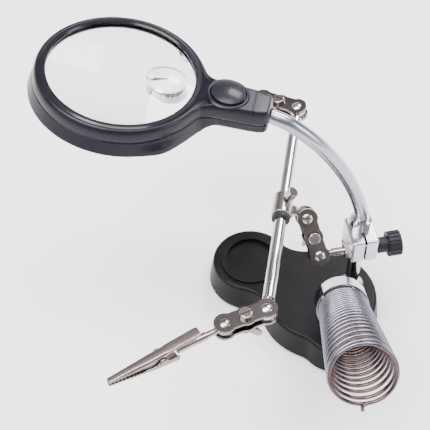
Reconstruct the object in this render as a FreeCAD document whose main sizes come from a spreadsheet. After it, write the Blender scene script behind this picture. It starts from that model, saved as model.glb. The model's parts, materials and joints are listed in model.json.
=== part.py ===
import FreeCAD, Part
import math
import os

import Sketcher
from FreeCAD import Placement, Rotation, Vector

# Helping hands magnifier with a lit lens on a flexible neck, two clips on a cross rod and a
# coil rest for a soldering iron.  Frame: the origin lies on the table under the axis of the
# post, +Z is up, the coil rest opens towards -Y and the lens hangs over -X.

# ---------------------------------------------------------------- driving dimensions (mm, degrees)
SIZES = {
    # cast base: a disc with a tray lobe and a lobe that carries the coil rest
    "base_height": 16.0,
    "foot_proud": 1.5,
    "foot_inset": 1.0,
    "foot_radius": 4.0,
    "disc_radius": 29.5,
    "tray_lobe_radius": 21.0,
    "tray_reach": 40.5,
    "rest_lobe_radius": 18.5,
    "rest_reach": 19.9,
    "rest_turn": 143.0,
    "waist_radius": 14.0,
    "neck_radius": 12.0,
    "base_draft": 7.5,
    "base_turn": 148.3,
    "base_edge": 2.0,
    "tray_radius": 12.2,
    "tray_depth": 1.0,
    "tray_rim": 3.2,
    "tray_rim_height": 1.2,
    "post_back": 10.1,
    "post_aside": 12.6,
    # battery bay in the underside
    "cell_radius": 5.25,
    "cell_length": 43.5,
    "cell_nub_radius": 1.9,
    "cell_nub_length": 1.0,
    "cell_gap": 0.15,
    "contact_thickness": 0.5,
    "contact_spring_length": 3.0,
    "contact_spring_radius": 3.2,
    "contact_wire_radius": 0.35,
    "bay_start": 3.8,
    "door_thickness": 1.6,
    "door_lip": 1.6,
    "door_gap": 0.2,
    "door_travel": 5.0,
    "door_tongue": 1.0,
    "door_tongue_height": 0.7,
    # post
    "post_radius": 3.25,
    "post_bore": 1.4,
    "post_height": 61.0,
    "spigot_radius": 2.5,
    "nut_across": 7.5,
    "nut_height": 4.0,
    "collar_radius": 5.5,
    "collar_height": 3.0,
    # swivel block on the post
    "washer_radius": 7.5,
    "washer_height": 1.5,
    "block_bottom": 50.0,
    "block_width": 13.0,
    "block_front": 11.5,
    "block_back": 5.5,
    "block_height": 14.0,
    "block_edge": 1.2,
    "block_turn": 10.7,
    "running_gap": 0.05,
    "bolt_front": 8.05,
    "bolt_lift": 6.5,
    "bolt_radius": 2.0,
    "knob_offset": 11.6,
    "knob_radius": 6.0,
    "knob_length": 6.0,
    "knob_flutes": 18,
    "flute_radius": 0.55,
    # ball joints
    "ball_radius": 4.0,
    "stem_radius": 1.5,
    "stem_neck": 6.5,
    "ball_offset": 21.5,
    "link_spacing": 19.5,
    "link_gap": 3.6,
    "link_thickness": 1.4,
    "link_eye": 4.8,
    "link_waist": 3.9,
    "link_bolt_radius": 1.5,
    "link_head_radius": 2.8,
    "link_head_height": 2.0,
    "wing_hub_radius": 3.0,
    "wing_hub_height": 4.0,
    "wing_span": 15.0,
    "wing_rise": 4.5,
    "wing_thickness": 1.4,
    "link_lean": 34.0,
    "link_swing": 13.0,
    # cross rod
    "rod_radius": 2.75,
    "rod_turn": 81.2,
    "rod_front": 58.9,
    "rod_rear": 62.3,
    "sleeve_radius": 4.6,
    "sleeve_length": 12.0,
    "sleeve_reach": 12.5,
    "sleeve_ring_width": 2.0,
    "sleeve_screw_radius": 1.5,
    "sleeve_screw_head": 2.6,
    "sleeve_screw_length": 4.0,
    "front_link_turn": 203.4,
    "front_clip_turn": 209.6,
    "rear_link_turn": 150.0,
    "rear_clip_turn": 178.0,
    "rear_link_tilt": 10.0,
    # clips
    "clip_length": 55.0,
    "clip_width": 6.4,
    "clip_tip_width": 2.6,
    "clip_sheet": 0.7,
    "clip_height": 3.8,
    "clip_tip_height": 1.5,
    "clip_barrel_radius": 1.9,
    "clip_barrel_start": 9.0,
    "clip_channel_start": 23.0,
    "clip_pivot": 31.0,
    "clip_pin_radius": 1.0,
    "clip_mouth_gap": 0.15,
    "clip_tail_start": 12.5,
    "clip_tail_rise": 6.0,
    "clip_side_gap": 0.15,
    # flexible neck
    "neck_tube_radius": 3.2,
    "neck_tube_bore": 1.5,
    "neck_collar_radius": 5.0,
    "neck_collar_height": 6.0,
    "neck_socket": 4.0,
    "neck_elbow_rise": 0.8,
    "neck_gap": 1.5,
    "neck_first_joint": 10.0,
    "neck_last_joint": 82.0,
    "neck_joints": 6,
    "ferrule_radius": 4.3,
    # lens head
    "lens_x": -106.9,
    "lens_y": 7.7,
    "lens_z": 152.6,
    "lens_radius": 32.5,
    "lens_edge": 2.4,
    "lens_bulge": 2.6,
    "lens_gap": 0.1,
    "small_lens_radius": 8.5,
    "small_lens_inset": 13.5,
    "small_lens_height": 7.0,
    "opening_inset": 1.5,
    "bezel_margin": 1.3,
    "bezel_height": 1.3,
    "rim_margin": 2.5,
    "seam_margin": 3.7,
    "skirt_margin": 5.5,
    "skirt_wall": 1.8,
    "rim_top": 2.5,
    "seam_level": -3.0,
    "skirt_bottom": -9.0,
    "grip_width": 17.0,
    "grip_top": 3.5,
    "grip_bottom": -8.0,
    "grip_length": 31.5,
    "grip_cap": 7.0,
    "grip_wall": 1.1,
    "button_reach": 12.5,
    "button_radius": 7.2,
    "button_rise": 3.0,
    "button_travel": 1.0,
    "button_skirt": 2.0,
    "button_hole_gap": 0.3,
    "board_thickness": 1.2,
    "board_width": 11.0,
    "board_length": 15.0,
    "led_radius": 2.5,
    "led_length": 5.0,
    "led_turn": 50.0,
    "led_inset": 4.6,
    "pod_radius": 3.6,
    "shell_screw_radius": 1.2,
    # coil rest for the iron
    "rest_height": 34.4,
    "rest_rise": 30.0,
    "rest_heading": 271.8,
    "rest_rear": 6.0,
    "rest_cup_length": 12.5,
    "rest_cup_radius": 12.6,
    "rest_cup_wall": 0.9,
    "rest_mouth": 70.0,
    "coil_rear_radius": 10.9,
    "coil_mouth_radius": 14.6,
    "coil_wire_radius": 0.9,
    "coil_close_pitch": 2.1,
    "coil_open_pitch": 5.5,
    "coil_close_length": 16.0,
    "pedestal_radius": 4.5,
    "pedestal_screw_radius": 2.0,
}

doc = FreeCAD.newDocument("HelpingHandsMagnifier")
sheet = doc.addObject("Spreadsheet::Sheet", "Sizes")


class Size:
    """A number together with the formula of sheet cells that it comes from."""

    def __init__(self, value, text):
        self.value = float(value)
        self.text = text

    def _join(self, sign, other, value, flip=False):
        other = as_size(other)
        first, second = (other, self) if flip else (self, other)
        return Size(value(first.value, second.value), f"({first.text} {sign} {second.text})")

    def __add__(self, other):
        return self._join("+", other, lambda a, b: a + b)

    def __radd__(self, other):
        return self._join("+", other, lambda a, b: a + b, flip=True)

    def __sub__(self, other):
        return self._join("-", other, lambda a, b: a - b)

    def __rsub__(self, other):
        return self._join("-", other, lambda a, b: a - b, flip=True)

    def __mul__(self, other):
        return self._join("*", other, lambda a, b: a * b)

    def __rmul__(self, other):
        return self._join("*", other, lambda a, b: a * b, flip=True)

    def __truediv__(self, other):
        return self._join("/", other, lambda a, b: a / b)

    def __neg__(self):
        return Size(-self.value, f"(0 - {self.text})")

    def __float__(self):
        return self.value


def as_size(value):
    return value if isinstance(value, Size) else Size(value, repr(float(value)))


def cosine(angle):
    return Size(math.cos(math.radians(angle.value)), f"cos({angle.text} * 1 deg)")


def sine(angle):
    return Size(math.sin(math.radians(angle.value)), f"sin({angle.text} * 1 deg)")


class Sheet:
    """Gives each driving dimension by name, as S.base_height."""


S = Sheet()
for row, (alias, number) in enumerate(SIZES.items(), start=1):
    sheet.set(f"A{row}", alias.replace("_", " "))
    sheet.set(f"B{row}", str(number))
    sheet.setAlias(f"B{row}", alias)
    setattr(S, alias, Size(number, f"Sizes.{alias}"))
doc.recompute()

S.opening_radius = S.lens_radius - S.opening_inset
S.bezel_radius = S.lens_radius + S.bezel_margin
S.rim_radius = S.lens_radius + S.rim_margin
S.seam_radius = S.lens_radius + S.seam_margin
S.skirt_radius = S.lens_radius + S.skirt_margin
S.led_ring = S.skirt_radius - S.led_inset
S.grip_end = S.lens_radius + S.grip_length
S.button_offset = S.lens_radius + S.button_reach
S.small_lens_offset = S.lens_radius - S.small_lens_inset

pieces = []


def bind(thing, **properties):
    """Sets properties to sizes and ties them to the sheet."""
    for name, size in properties.items():
        size = as_size(size)
        setattr(thing, name, size.value)
        thing.setExpression(name, size.text)
    return thing


def place(thing, x=0, y=0, z=0, rotation=None):
    """Puts an operand at sheet-driven coordinates in its sub-part's own frame."""
    x, y, z = as_size(x), as_size(y), as_size(z)
    thing.Placement = Placement(Vector(x.value, y.value, z.value), rotation or Rotation())
    for axis, size in zip("xyz", (x, y, z)):
        thing.setExpression(f"Placement.Base.{axis}", size.text)
    return thing


def settle(thing, frame):
    """Puts a thing in a frame that is worked out from the sheet."""
    for axis in "xyz":
        thing.setExpression(f"Placement.Base.{axis}", None)
    thing.Placement = frame
    return thing


def sub_part(thing, label, frame=None):
    """Names a finished sub-part and puts it in the whole object's frame."""
    thing.Label = label
    if frame is not None:
        settle(thing, frame.multiply(thing.Placement))
    pieces.append(thing)
    return thing


def frame_at(origin, x_axis, z_axis):
    """A frame with its x axis exactly along x_axis and its z axis as near z_axis as it can be."""
    y_axis = z_axis.cross(x_axis)
    return Placement(origin, Rotation(x_axis, y_axis, x_axis.cross(y_axis), "XZY"))


def level(turn):
    """The level unit vector at a compass turn from +X towards +Y."""
    angle = math.radians(float(turn))
    return Vector(math.cos(angle), math.sin(angle), 0)


# ---------------------------------------------------------------- primitives and booleans
ALONG_X = Rotation(Vector(0, 1, 0), 90)
ALONG_Y = Rotation(Vector(1, 0, 0), -90)
DOWN = Rotation(Vector(1, 0, 0), 180)


def cylinder(radius, height, x=0, y=0, z=0, rotation=None):
    thing = bind(doc.addObject("Part::Cylinder", "Cylinder"), Radius=radius, Height=height)
    return place(thing, x, y, z, rotation)


def cone(radius_1, radius_2, height, x=0, y=0, z=0, rotation=None):
    thing = doc.addObject("Part::Cone", "Cone")
    bind(thing, Radius1=radius_1, Radius2=radius_2, Height=height)
    return place(thing, x, y, z, rotation)


def sphere(radius, x=0, y=0, z=0, rotation=None):
    thing = bind(doc.addObject("Part::Sphere", "Sphere"), Radius=radius)
    return place(thing, x, y, z, rotation)


def box(length, width, height, x=0, y=0, z=0, rotation=None):
    thing = bind(doc.addObject("Part::Box", "Box"), Length=length, Width=width, Height=height)
    return place(thing, x, y, z, rotation)


def prism(across, height, x=0, y=0, z=0, rotation=None):
    """A hexagonal prism, such as a nut, given by its width across the flats."""
    thing = doc.addObject("Part::Prism", "Prism")
    thing.Polygon = 6
    bind(thing, Circumradius=as_size(across) / math.sqrt(3), Height=height)
    return place(thing, x, y, z, rotation)


def fuse(*things):
    union = doc.addObject("Part::MultiFuse", "Fuse")
    union.Shapes = list(things)
    union.Refine = True
    return union


def cut(base, *tools):
    """Takes each tool away from base."""
    for tool in tools:
        less = doc.addObject("Part::Cut", "Cut")
        less.Base = base
        less.Tool = tool
        less.Refine = True
        base = less
    return base


def common(base, tool):
    both = doc.addObject("Part::Common", "Common")
    both.Base = base
    both.Tool = tool
    return both


def group(things):
    """Several separate solids of one kind in one sub-part."""
    both = doc.addObject("Part::Compound", "Group")
    both.Links = list(things)
    return both


def edges(thing, wanted):
    """The numbers of the edges of a computed shape that a test picks out."""
    return [i for i, edge in enumerate(thing.Shape.Edges, start=1) if wanted(edge)]


def rounded(thing, radius, wanted):
    """Rounds the edges of a primitive or boolean that a test picks out."""
    doc.recompute()
    radius = as_size(radius)
    fillet = doc.addObject("Part::Fillet", "Fillet")
    fillet.Base = thing
    fillet.Edges = [(i, radius.value, radius.value) for i in edges(thing, wanted)]
    return fillet


# ---------------------------------------------------------------- bodies with sketches
def new_body(name):
    return doc.addObject("PartDesign::Body", name)


def new_sketch(body, role, name, lift=0):
    """A sketch on one of the body's own origin planes, raised along the plane's normal."""
    plane = next(f for f in body.Origin.OriginFeatures if f.Role == role)
    sketch = body.newObject("Sketcher::SketchObject", name)
    sketch.AttachmentSupport = (plane, [""])
    sketch.MapMode = "FlatFace"
    lift = as_size(lift)
    sketch.AttachmentOffset = Placement(Vector(0, 0, lift.value), Rotation())
    sketch.setExpression("AttachmentOffset.Base.z", lift.text)
    return sketch


def fix_point(sketch, geometry, vertex, x, y):
    """Ties a point of the sketch to sheet-driven coordinates."""
    for kind, axis, size in (("DistanceX", -2, as_size(x)), ("DistanceY", -1, as_size(y))):
        if size.value == 0:
            sketch.addConstraint(Sketcher.Constraint("PointOnObject", geometry, vertex, axis))
            continue
        number = sketch.addConstraint(
            Sketcher.Constraint(kind, -1, 1, geometry, vertex, size.value)
        )
        sketch.setExpression(f"Constraints[{number}]", size.text)


def polygon(sketch, points):
    """A closed outline of straight lines through sheet-driven points."""
    spots = [Vector(float(x), float(y), 0) for x, y in points]
    numbers = [
        sketch.addGeometry(Part.LineSegment(spot, spots[(i + 1) % len(spots)]), False)
        for i, spot in enumerate(spots)
    ]
    for i, number in enumerate(numbers):
        after = numbers[(i + 1) % len(numbers)]
        sketch.addConstraint(Sketcher.Constraint("Coincident", number, 2, after, 1))
    for number, (x, y) in zip(numbers, points):
        fix_point(sketch, number, 1, x, y)


def circle(sketch, radius, x=0, y=0):
    radius = as_size(radius)
    centre = Vector(float(as_size(x)), float(as_size(y)), 0)
    number = sketch.addGeometry(Part.Circle(centre, Vector(0, 0, 1), radius.value), False)
    if as_size(x).value == 0 and as_size(y).value == 0:
        sketch.addConstraint(Sketcher.Constraint("Coincident", number, 3, -1, 1))
    else:
        fix_point(sketch, number, 3, x, y)
    place_in = sketch.addConstraint(Sketcher.Constraint("Radius", number, radius.value))
    sketch.setExpression(f"Constraints[{place_in}]", radius.text)


def pad(body, sketch, length, middle=False, draft=None):
    feature = body.newObject("PartDesign::Pad", "Pad")
    feature.Profile = sketch
    bind(feature, Length=length)
    feature.Midplane = middle
    if draft is not None:
        bind(feature, TaperAngle=draft)
    return feature


def pocket(body, sketch, length, upward=False, middle=False):
    """Cuts against the sketch's normal, or along it when upward is set."""
    feature = body.newObject("PartDesign::Pocket", "Pocket")
    feature.Profile = sketch
    bind(feature, Length=length)
    feature.Reversed = upward
    feature.Midplane = middle
    return feature


def turned(name, points, frame=None):
    """A piece turned on a lathe: a closed outline of radius and height, spun round z."""
    body = new_body(name)
    sketch = new_sketch(body, "XZ_Plane", f"{name}_outline")
    polygon(sketch, points)
    spin = body.newObject("PartDesign::Revolution", "Revolution")
    spin.Profile = sketch
    spin.ReferenceAxis = (sketch, ["V_Axis"])
    spin.Angle = 360
    return sub_part(body, name, frame)


def tube_points(inner, outer, bottom, top):
    return [(inner, bottom), (outer, bottom), (outer, top), (inner, top)]


def dressed(body, radius, wanted):
    """Rounds edges of a body's latest feature."""
    doc.recompute()
    feature = body.Tip
    fillet = body.newObject("PartDesign::Fillet", "Fillet")
    fillet.Base = (feature, [f"Edge{i}" for i in edges(feature, wanted)])
    bind(fillet, Radius=radius)
    return fillet


def level_edge(height):
    """Picks edges that lie flat at a height."""

    def wanted(edge):
        box_ = edge.BoundBox
        return abs(box_.ZMin - height) < 1e-4 and abs(box_.ZMax - height) < 1e-4

    return wanted


# ---------------------------------------------------------------- cast base
def meeting(centre_1, radius_1, centre_2, radius_2, left):
    """The point at two distances from two centres, on the left or right of the line between."""
    line = centre_2 - centre_1
    along = (radius_1**2 - radius_2**2 + line.Length**2) / (2 * line.Length)
    off = math.sqrt(radius_1**2 - along**2)
    unit = line.normalize()
    side = Vector(-unit.y, unit.x, 0) * (off if left else -off)
    return centre_1 + unit * along + side


def base_frame():
    """The base's own frame: its origin is under the disc's centre, its x axis meets the tray."""
    turn = Rotation(Vector(0, 0, 1), S.base_turn.value)
    post = Vector(-S.post_back.value, -S.post_aside.value, 0)
    return Placement(-turn.multVec(post), turn)


REST_ALONG = S.rest_reach * cosine(S.rest_turn)
REST_ASIDE = S.rest_reach * sine(S.rest_turn)


def base_outline(sketch):
    """Three round lobes joined by hollow arcs: eight arcs, each tangent to the next."""
    disc = Vector(0, 0, 0)
    tray = Vector(S.tray_reach.value, 0, 0)
    rest = Vector(REST_ALONG.value, REST_ASIDE.value, 0)
    rounds = [
        (tray, S.tray_lobe_radius, S.tray_reach, 0),
        (disc, S.disc_radius, 0, 0),
        (rest, S.rest_lobe_radius, REST_ALONG, REST_ASIDE),
        (disc, S.disc_radius, 0, 0),
    ]
    hollows = [S.waist_radius, S.neck_radius, S.neck_radius, S.waist_radius]
    centres = []
    for i, hollow in enumerate(hollows):
        here, after = rounds[i], rounds[(i + 1) % 4]
        centres.append(
            meeting(
                here[0],
                here[1].value + hollow.value,
                after[0],
                after[1].value + hollow.value,
                left=False,
            )
        )

    def angle(centre, spot):
        return math.atan2(spot.y - centre.y, spot.x - centre.x)

    numbers = []
    for i, (centre, radius, x, y) in enumerate(rounds):
        before, after = centres[i - 1], centres[i]
        start, stop = angle(centre, before), angle(centre, after)
        stop += 2 * math.pi if stop < start else 0
        ring = Part.Circle(centre, Vector(0, 0, 1), radius.value)
        number = sketch.addGeometry(Part.ArcOfCircle(ring, start, stop), False)
        numbers.append((number, False))
        if i == 3:
            sketch.addConstraint(Sketcher.Constraint("Coincident", number, 3, numbers[2][0], 3))
            sketch.addConstraint(Sketcher.Constraint("Equal", number, numbers[2][0]))
        else:
            if as_size(x).value == 0 and as_size(y).value == 0:
                sketch.addConstraint(Sketcher.Constraint("Coincident", number, 3, -1, 1))
            else:
                fix_point(sketch, number, 3, x, y)
            set_radius(sketch, number, radius)
        hollow_ring = Part.Circle(after, Vector(0, 0, 1), hollows[i].value)
        begin, end = angle(after, rounds[(i + 1) % 4][0]), angle(after, centre)
        end += 2 * math.pi if end < begin else 0
        hollow_arc = Part.ArcOfCircle(hollow_ring, begin, end)
        number = sketch.addGeometry(hollow_arc, False)
        numbers.append((number, True))
        set_radius(sketch, number, hollows[i])
    for (number, backward), (after, after_backward) in zip(numbers, numbers[1:] + numbers[:1]):
        end = 1 if backward else 2
        begin = 2 if after_backward else 1
        sketch.addConstraint(Sketcher.Constraint("Tangent", number, end, after, begin))


def set_radius(sketch, number, radius):
    place_in = sketch.addConstraint(Sketcher.Constraint("Radius", number, radius.value))
    sketch.setExpression(f"Constraints[{place_in}]", radius.text)


CELL_PITCH = 2 * (S.cell_radius + S.cell_gap)
BAY_HALF_WIDTH = CELL_PITCH * 1.5
CELL_TOTAL = S.cell_length + S.cell_nub_length
BAY_LENGTH = CELL_TOTAL + 2 * S.contact_thickness + S.contact_spring_length + 0.2
BAY_START = -S.bay_start
DOOR_HALF_WIDTH = BAY_HALF_WIDTH + S.door_lip
CELL_LEVEL = S.foot_proud + S.door_thickness + S.door_gap + S.cell_radius
BAY_DEPTH = S.door_thickness + S.door_gap + 2 * S.cell_radius + S.cell_gap
FOOT_SPOTS = [
    (-S.post_back, -S.post_aside),
    (S.tray_reach + S.tray_lobe_radius - S.foot_radius - 2.0, as_size(0)),
    (REST_ALONG * 1.25, REST_ASIDE + S.rest_lobe_radius - S.foot_radius - 2.5),
    (as_size(6.0), -(S.disc_radius - S.foot_radius - 2.0)),
    (as_size(8.0), S.disc_radius - S.foot_radius - 2.5),
]


def rectangle(sketch, x_0, x_1, half_width):
    polygon(
        sketch, [(x_0, -half_width), (x_1, -half_width), (x_1, half_width), (x_0, half_width)]
    )


def make_base():
    body = new_body("base_casting")
    outline = new_sketch(body, "XY_Plane", "base_outline", S.foot_proud)
    base_outline(outline)
    pad(body, outline, S.base_height - S.foot_proud, draft=-S.base_draft)
    dressed(body, S.base_edge, level_edge(S.base_height.value))

    rim = new_sketch(body, "XY_Plane", "tray_rim", S.base_height - 0.5)
    circle(rim, S.tray_radius + S.tray_rim, S.tray_reach, 0)
    pad(body, rim, S.tray_rim_height + 0.5)
    tray = new_sketch(body, "XY_Plane", "tray", S.base_height + S.tray_rim_height)
    circle(tray, S.tray_radius, S.tray_reach, 0)
    pocket(body, tray, S.tray_rim_height + S.tray_depth)

    bay = new_sketch(body, "XY_Plane", "battery_bay", S.foot_proud)
    rectangle(bay, BAY_START, BAY_START + BAY_LENGTH, BAY_HALF_WIDTH)
    pocket(body, bay, BAY_DEPTH, upward=True)
    seat = new_sketch(body, "XY_Plane", "door_seat", S.foot_proud)
    seat_start = BAY_START - S.door_lip
    seat_end = BAY_START + BAY_LENGTH + S.door_lip + S.door_travel
    rectangle(seat, seat_start, seat_end, DOOR_HALF_WIDTH)
    pocket(body, seat, S.door_thickness + S.door_gap, upward=True)
    groove = new_sketch(body, "XY_Plane", "door_grooves", groove_level())
    rectangle(groove, seat_start, seat_end, DOOR_HALF_WIDTH + S.door_tongue + S.door_gap)
    pocket(body, groove, S.door_tongue_height + 2 * S.door_gap, upward=True)

    feet = new_sketch(body, "XY_Plane", "foot_seats", S.foot_proud)
    for x, y in FOOT_SPOTS:
        circle(feet, S.foot_radius, x, y)
    pocket(body, feet, S.foot_inset, upward=True)
    nut_seat = new_sketch(body, "XY_Plane", "post_nut_seat", S.foot_proud + S.foot_inset)
    circle(nut_seat, NUT_SEAT_RADIUS, -S.post_back, -S.post_aside)
    pocket(body, nut_seat, NUT_SEAT_DEPTH, upward=True)
    post_hole = new_sketch(body, "XY_Plane", "post_hole", S.foot_proud)
    circle(post_hole, S.spigot_radius, -S.post_back, -S.post_aside)
    circle(post_hole, S.pedestal_screw_radius, REST_ALONG, REST_ASIDE)
    pocket(body, post_hole, S.base_height, upward=True)
    screw_seat = new_sketch(body, "XY_Plane", "rest_screw_seat", S.foot_proud)
    circle(screw_seat, SCREW_HEAD_RADIUS, REST_ALONG, REST_ASIDE)
    pocket(body, screw_seat, SCREW_HEAD_SEAT, upward=True)
    sub_part(body, "base_casting", base_frame())


def groove_level():
    """The grooves that hold the door up sit at mid height of its edge."""
    return S.foot_proud + (S.door_thickness - S.door_tongue_height) / 2 - S.door_gap


NUT_SEAT_RADIUS = S.nut_across * 0.62
NUT_SEAT_DEPTH = S.nut_height + 0.6
SCREW_HEAD_RADIUS = S.pedestal_screw_radius * 1.9
SCREW_HEAD_SEAT = as_size(4.0)


def make_door():
    """The battery door slides level towards the tray on two tongues."""
    body = new_body("battery_door")
    plate = new_sketch(body, "XY_Plane", "door_plate", S.foot_proud)
    start = BAY_START - S.door_lip + S.door_gap
    end = BAY_START + BAY_LENGTH + S.door_lip - S.door_gap
    rectangle(plate, start, end, DOOR_HALF_WIDTH - S.door_gap)
    pad(body, plate, S.door_thickness)
    tongues = new_sketch(body, "XY_Plane", "door_tongues", groove_level() + S.door_gap)
    rectangle(tongues, start + 3, end - 3, DOOR_HALF_WIDTH - S.door_gap + S.door_tongue)
    pad(body, tongues, S.door_tongue_height)
    grip = new_sketch(body, "XY_Plane", "door_finger_grip", S.foot_proud)
    for number in range(4):
        x = start + 5 + number * 2.4
        rectangle(grip, x, x + 1.2, as_size(6.0))
    pocket(body, grip, 0.6, upward=True)
    sub_part(body, "battery_door", base_frame())


def along_bay(x, y, z, turned_round):
    """Lays a piece modelled along z into the battery bay, pointing to the tray or back."""
    rotation = ALONG_X if not turned_round else Rotation(Vector(0, 1, 0), -90)
    local = Placement(Vector(float(x), float(y), float(z)), rotation)
    return base_frame().multiply(local)


def make_cells():
    """Three cells side by side, the middle one the other way round."""
    cells, contacts, springs = [], [], []
    flat_end = BAY_START + S.contact_thickness
    for number in range(3):
        aside = (number - 1) * CELL_PITCH
        back = number == 1
        spring_end = BAY_START + BAY_LENGTH - S.contact_thickness
        if back:
            foot = flat_end + S.contact_spring_length + 0.1
            spot = along_bay(foot, aside, CELL_LEVEL, False)
            spring_spot = along_bay(flat_end, aside, CELL_LEVEL, False)
        else:
            foot = spring_end - S.contact_spring_length - 0.1
            spot = along_bay(foot, aside, CELL_LEVEL, True)
            spring_spot = along_bay(spring_end, aside, CELL_LEVEL, True)
        can = cylinder(S.cell_radius, S.cell_length)
        nub = cylinder(S.cell_nub_radius, S.cell_nub_length, z=S.cell_length)
        cell = fuse(can, nub)
        settle(cell, spot)
        cells.append(cell)
        springs.append(contact_spring(spring_spot))
        for x in (BAY_START, spring_end):
            strip = box(
                S.contact_thickness, 2 * S.cell_radius - 1.5, 2 * S.cell_radius - 1.5
            )
            corner = Vector(float(x), float(aside) - S.cell_radius.value + 0.75, 0)
            corner.z = float(CELL_LEVEL) - S.cell_radius.value + 0.75
            contacts.append(settle(strip, base_frame().multiply(Placement(corner, Rotation()))))
    sub_part(group(cells), "battery_cells")
    sub_part(group(contacts), "battery_contacts")
    sub_part(group(springs), "battery_springs")


def contact_spring(spot):
    """A short coil of round wire that stands on its contact."""
    wire = S.contact_wire_radius.value
    length = S.contact_spring_length.value - 2 * wire
    path = Part.makeHelix(length / 2.5, length, S.contact_spring_radius.value - wire)
    start = Vector(S.contact_spring_radius.value - wire, 0, 0)
    ring = Part.Wire([Part.makeCircle(wire, start, Vector(0, 1, 0))])
    coil = Part.Wire(path.Edges).makePipeShell([ring], True, True)
    feature = doc.addObject("Part::Feature", "ContactSpring")
    feature.Shape = coil
    feature.Placement = spot.multiply(Placement(Vector(0, 0, wire), Rotation()))
    return feature


def make_feet():
    height = S.foot_proud + S.foot_inset
    feet = [cylinder(S.foot_radius, height, x, y) for x, y in FOOT_SPOTS]
    sub_part(group(feet), "rubber_feet", base_frame())


# ---------------------------------------------------------------- post
def make_post():
    nut_top = S.foot_proud + S.foot_inset + NUT_SEAT_DEPTH
    spigot_end = nut_top - S.nut_height - 0.3
    turned(
        "post",
        [
            (S.post_bore, spigot_end),
            (S.spigot_radius, spigot_end),
            (S.spigot_radius, S.base_height),
            (S.post_radius, S.base_height),
            (S.post_radius, S.post_height - 0.6),
            (S.post_radius - 0.6, S.post_height),
            (S.post_bore, S.post_height),
        ],
    )
    nut = prism(S.nut_across, S.nut_height, z=nut_top - S.nut_height)
    bore = cylinder(S.spigot_radius, S.nut_height, z=nut_top - S.nut_height)
    sub_part(cut(nut, bore), "post_nut")
    collar_top = S.base_height + S.collar_height
    turned(
        "post_foot_collar",
        [
            (S.post_radius, S.base_height),
            (S.collar_radius + 0.8, S.base_height),
            (S.collar_radius + 0.8, S.base_height + 1.0),
            (S.collar_radius, S.base_height + 1.4),
            (S.collar_radius, collar_top - 0.6),
            (S.collar_radius - 0.6, collar_top),
            (S.post_radius, collar_top),
        ],
    )
    washer_bottom = S.block_bottom - S.washer_height - S.running_gap
    washer_top = S.block_bottom - S.running_gap
    turned(
        "block_washer",
        tube_points(S.post_radius, S.washer_radius, washer_bottom, washer_top),
    )


# ---------------------------------------------------------------- swivel block with its clamp bolt
BLOCK_FRAME = Placement(Vector(0, 0, 0), Rotation(Vector(0, 0, 1), S.block_turn.value))
BLOCK_X = level(S.block_turn)
BLOCK_BACK = level(S.block_turn + 90)
BOLT_LEVEL = S.block_bottom + S.bolt_lift
BLOCK_TOP = S.block_bottom + S.block_height


def make_block():
    half = S.block_width / 2
    depth = S.block_front + S.block_back
    solid = box(S.block_width, depth, S.block_height, -half, -S.block_front, S.block_bottom)
    solid = rounded(solid, S.block_edge, lambda edge: True)
    bore_depth = S.post_height - S.block_bottom + 0.3
    bore = cylinder(S.post_radius + S.running_gap, bore_depth, z=S.block_bottom)
    lead = cylinder(S.neck_tube_bore, S.block_height, z=S.block_bottom)
    bolt = cylinder(
        S.bolt_radius + S.running_gap, S.block_width, -half, -S.bolt_front, BOLT_LEVEL, ALONG_X
    )
    slot_depth = S.block_front - S.post_radius
    slot = box(1.2, slot_depth, S.block_height, -0.6, -S.block_front, S.block_bottom)
    sub_part(cut(solid, bore, lead, bolt, slot), "swivel_block", BLOCK_FRAME)

    nut_at = S.block_width / 2
    hexagon = prism(6.5, 3.0, -nut_at - 3.0, -S.bolt_front, BOLT_LEVEL, ALONG_X)
    shank = S.ball_offset - S.stem_neck
    shank_end = S.knob_offset + S.knob_length - 2.0
    stem = cylinder(S.stem_radius, S.ball_offset, -S.ball_offset, -S.bolt_front, BOLT_LEVEL, ALONG_X)
    bolt_shank = cylinder(
        S.bolt_radius, shank + shank_end, -shank, -S.bolt_front, BOLT_LEVEL, ALONG_X
    )
    ball = sphere(S.ball_radius, -S.ball_offset, -S.bolt_front, BOLT_LEVEL, ALONG_X)
    sub_part(fuse(ball, stem, bolt_shank, hexagon), "clamp_bolt", BLOCK_FRAME)
    make_knob()


def make_knob():
    """The fluted knob screws on the end of the clamp bolt."""
    start = S.block_width / 2 + 0.4
    end = S.knob_offset + S.knob_length
    body = new_body("clamp_knob")
    hub = new_sketch(body, "YZ_Plane", "knob_hub", start)
    circle(hub, S.bolt_radius + 1.8, -S.bolt_front, BOLT_LEVEL)
    pad(body, hub, end - start)
    grip = new_sketch(body, "YZ_Plane", "knob_grip", S.knob_offset)
    circle(grip, S.knob_radius, -S.bolt_front, BOLT_LEVEL)
    pad(body, grip, S.knob_length)
    flutes = new_sketch(body, "YZ_Plane", "knob_flutes", end)
    count = int(S.knob_flutes.value)
    for number in range(count):
        turn = as_size(360.0) * number / count
        y = S.knob_radius * cosine(turn) - S.bolt_front
        circle(flutes, S.flute_radius, y, S.knob_radius * sine(turn) + BOLT_LEVEL)
    pocket(body, flutes, S.knob_length)
    bore = new_sketch(body, "YZ_Plane", "knob_bore", start)
    circle(bore, S.bolt_radius + S.running_gap, -S.bolt_front, BOLT_LEVEL)
    pocket(body, bore, end - start - 1.5, upward=True)
    sub_part(body, "clamp_knob", BLOCK_FRAME)


# ---------------------------------------------------------------- ball links
class Link:
    """A pair of plates that holds two balls; x runs from ball to ball, z across the plates."""

    def __init__(self, name, ball, along, normal):
        self.name = name
        self.frame = frame_at(ball, along, normal)
        self.far_ball = self.frame.multVec(Vector(S.link_spacing.value, 0, 0))


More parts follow.
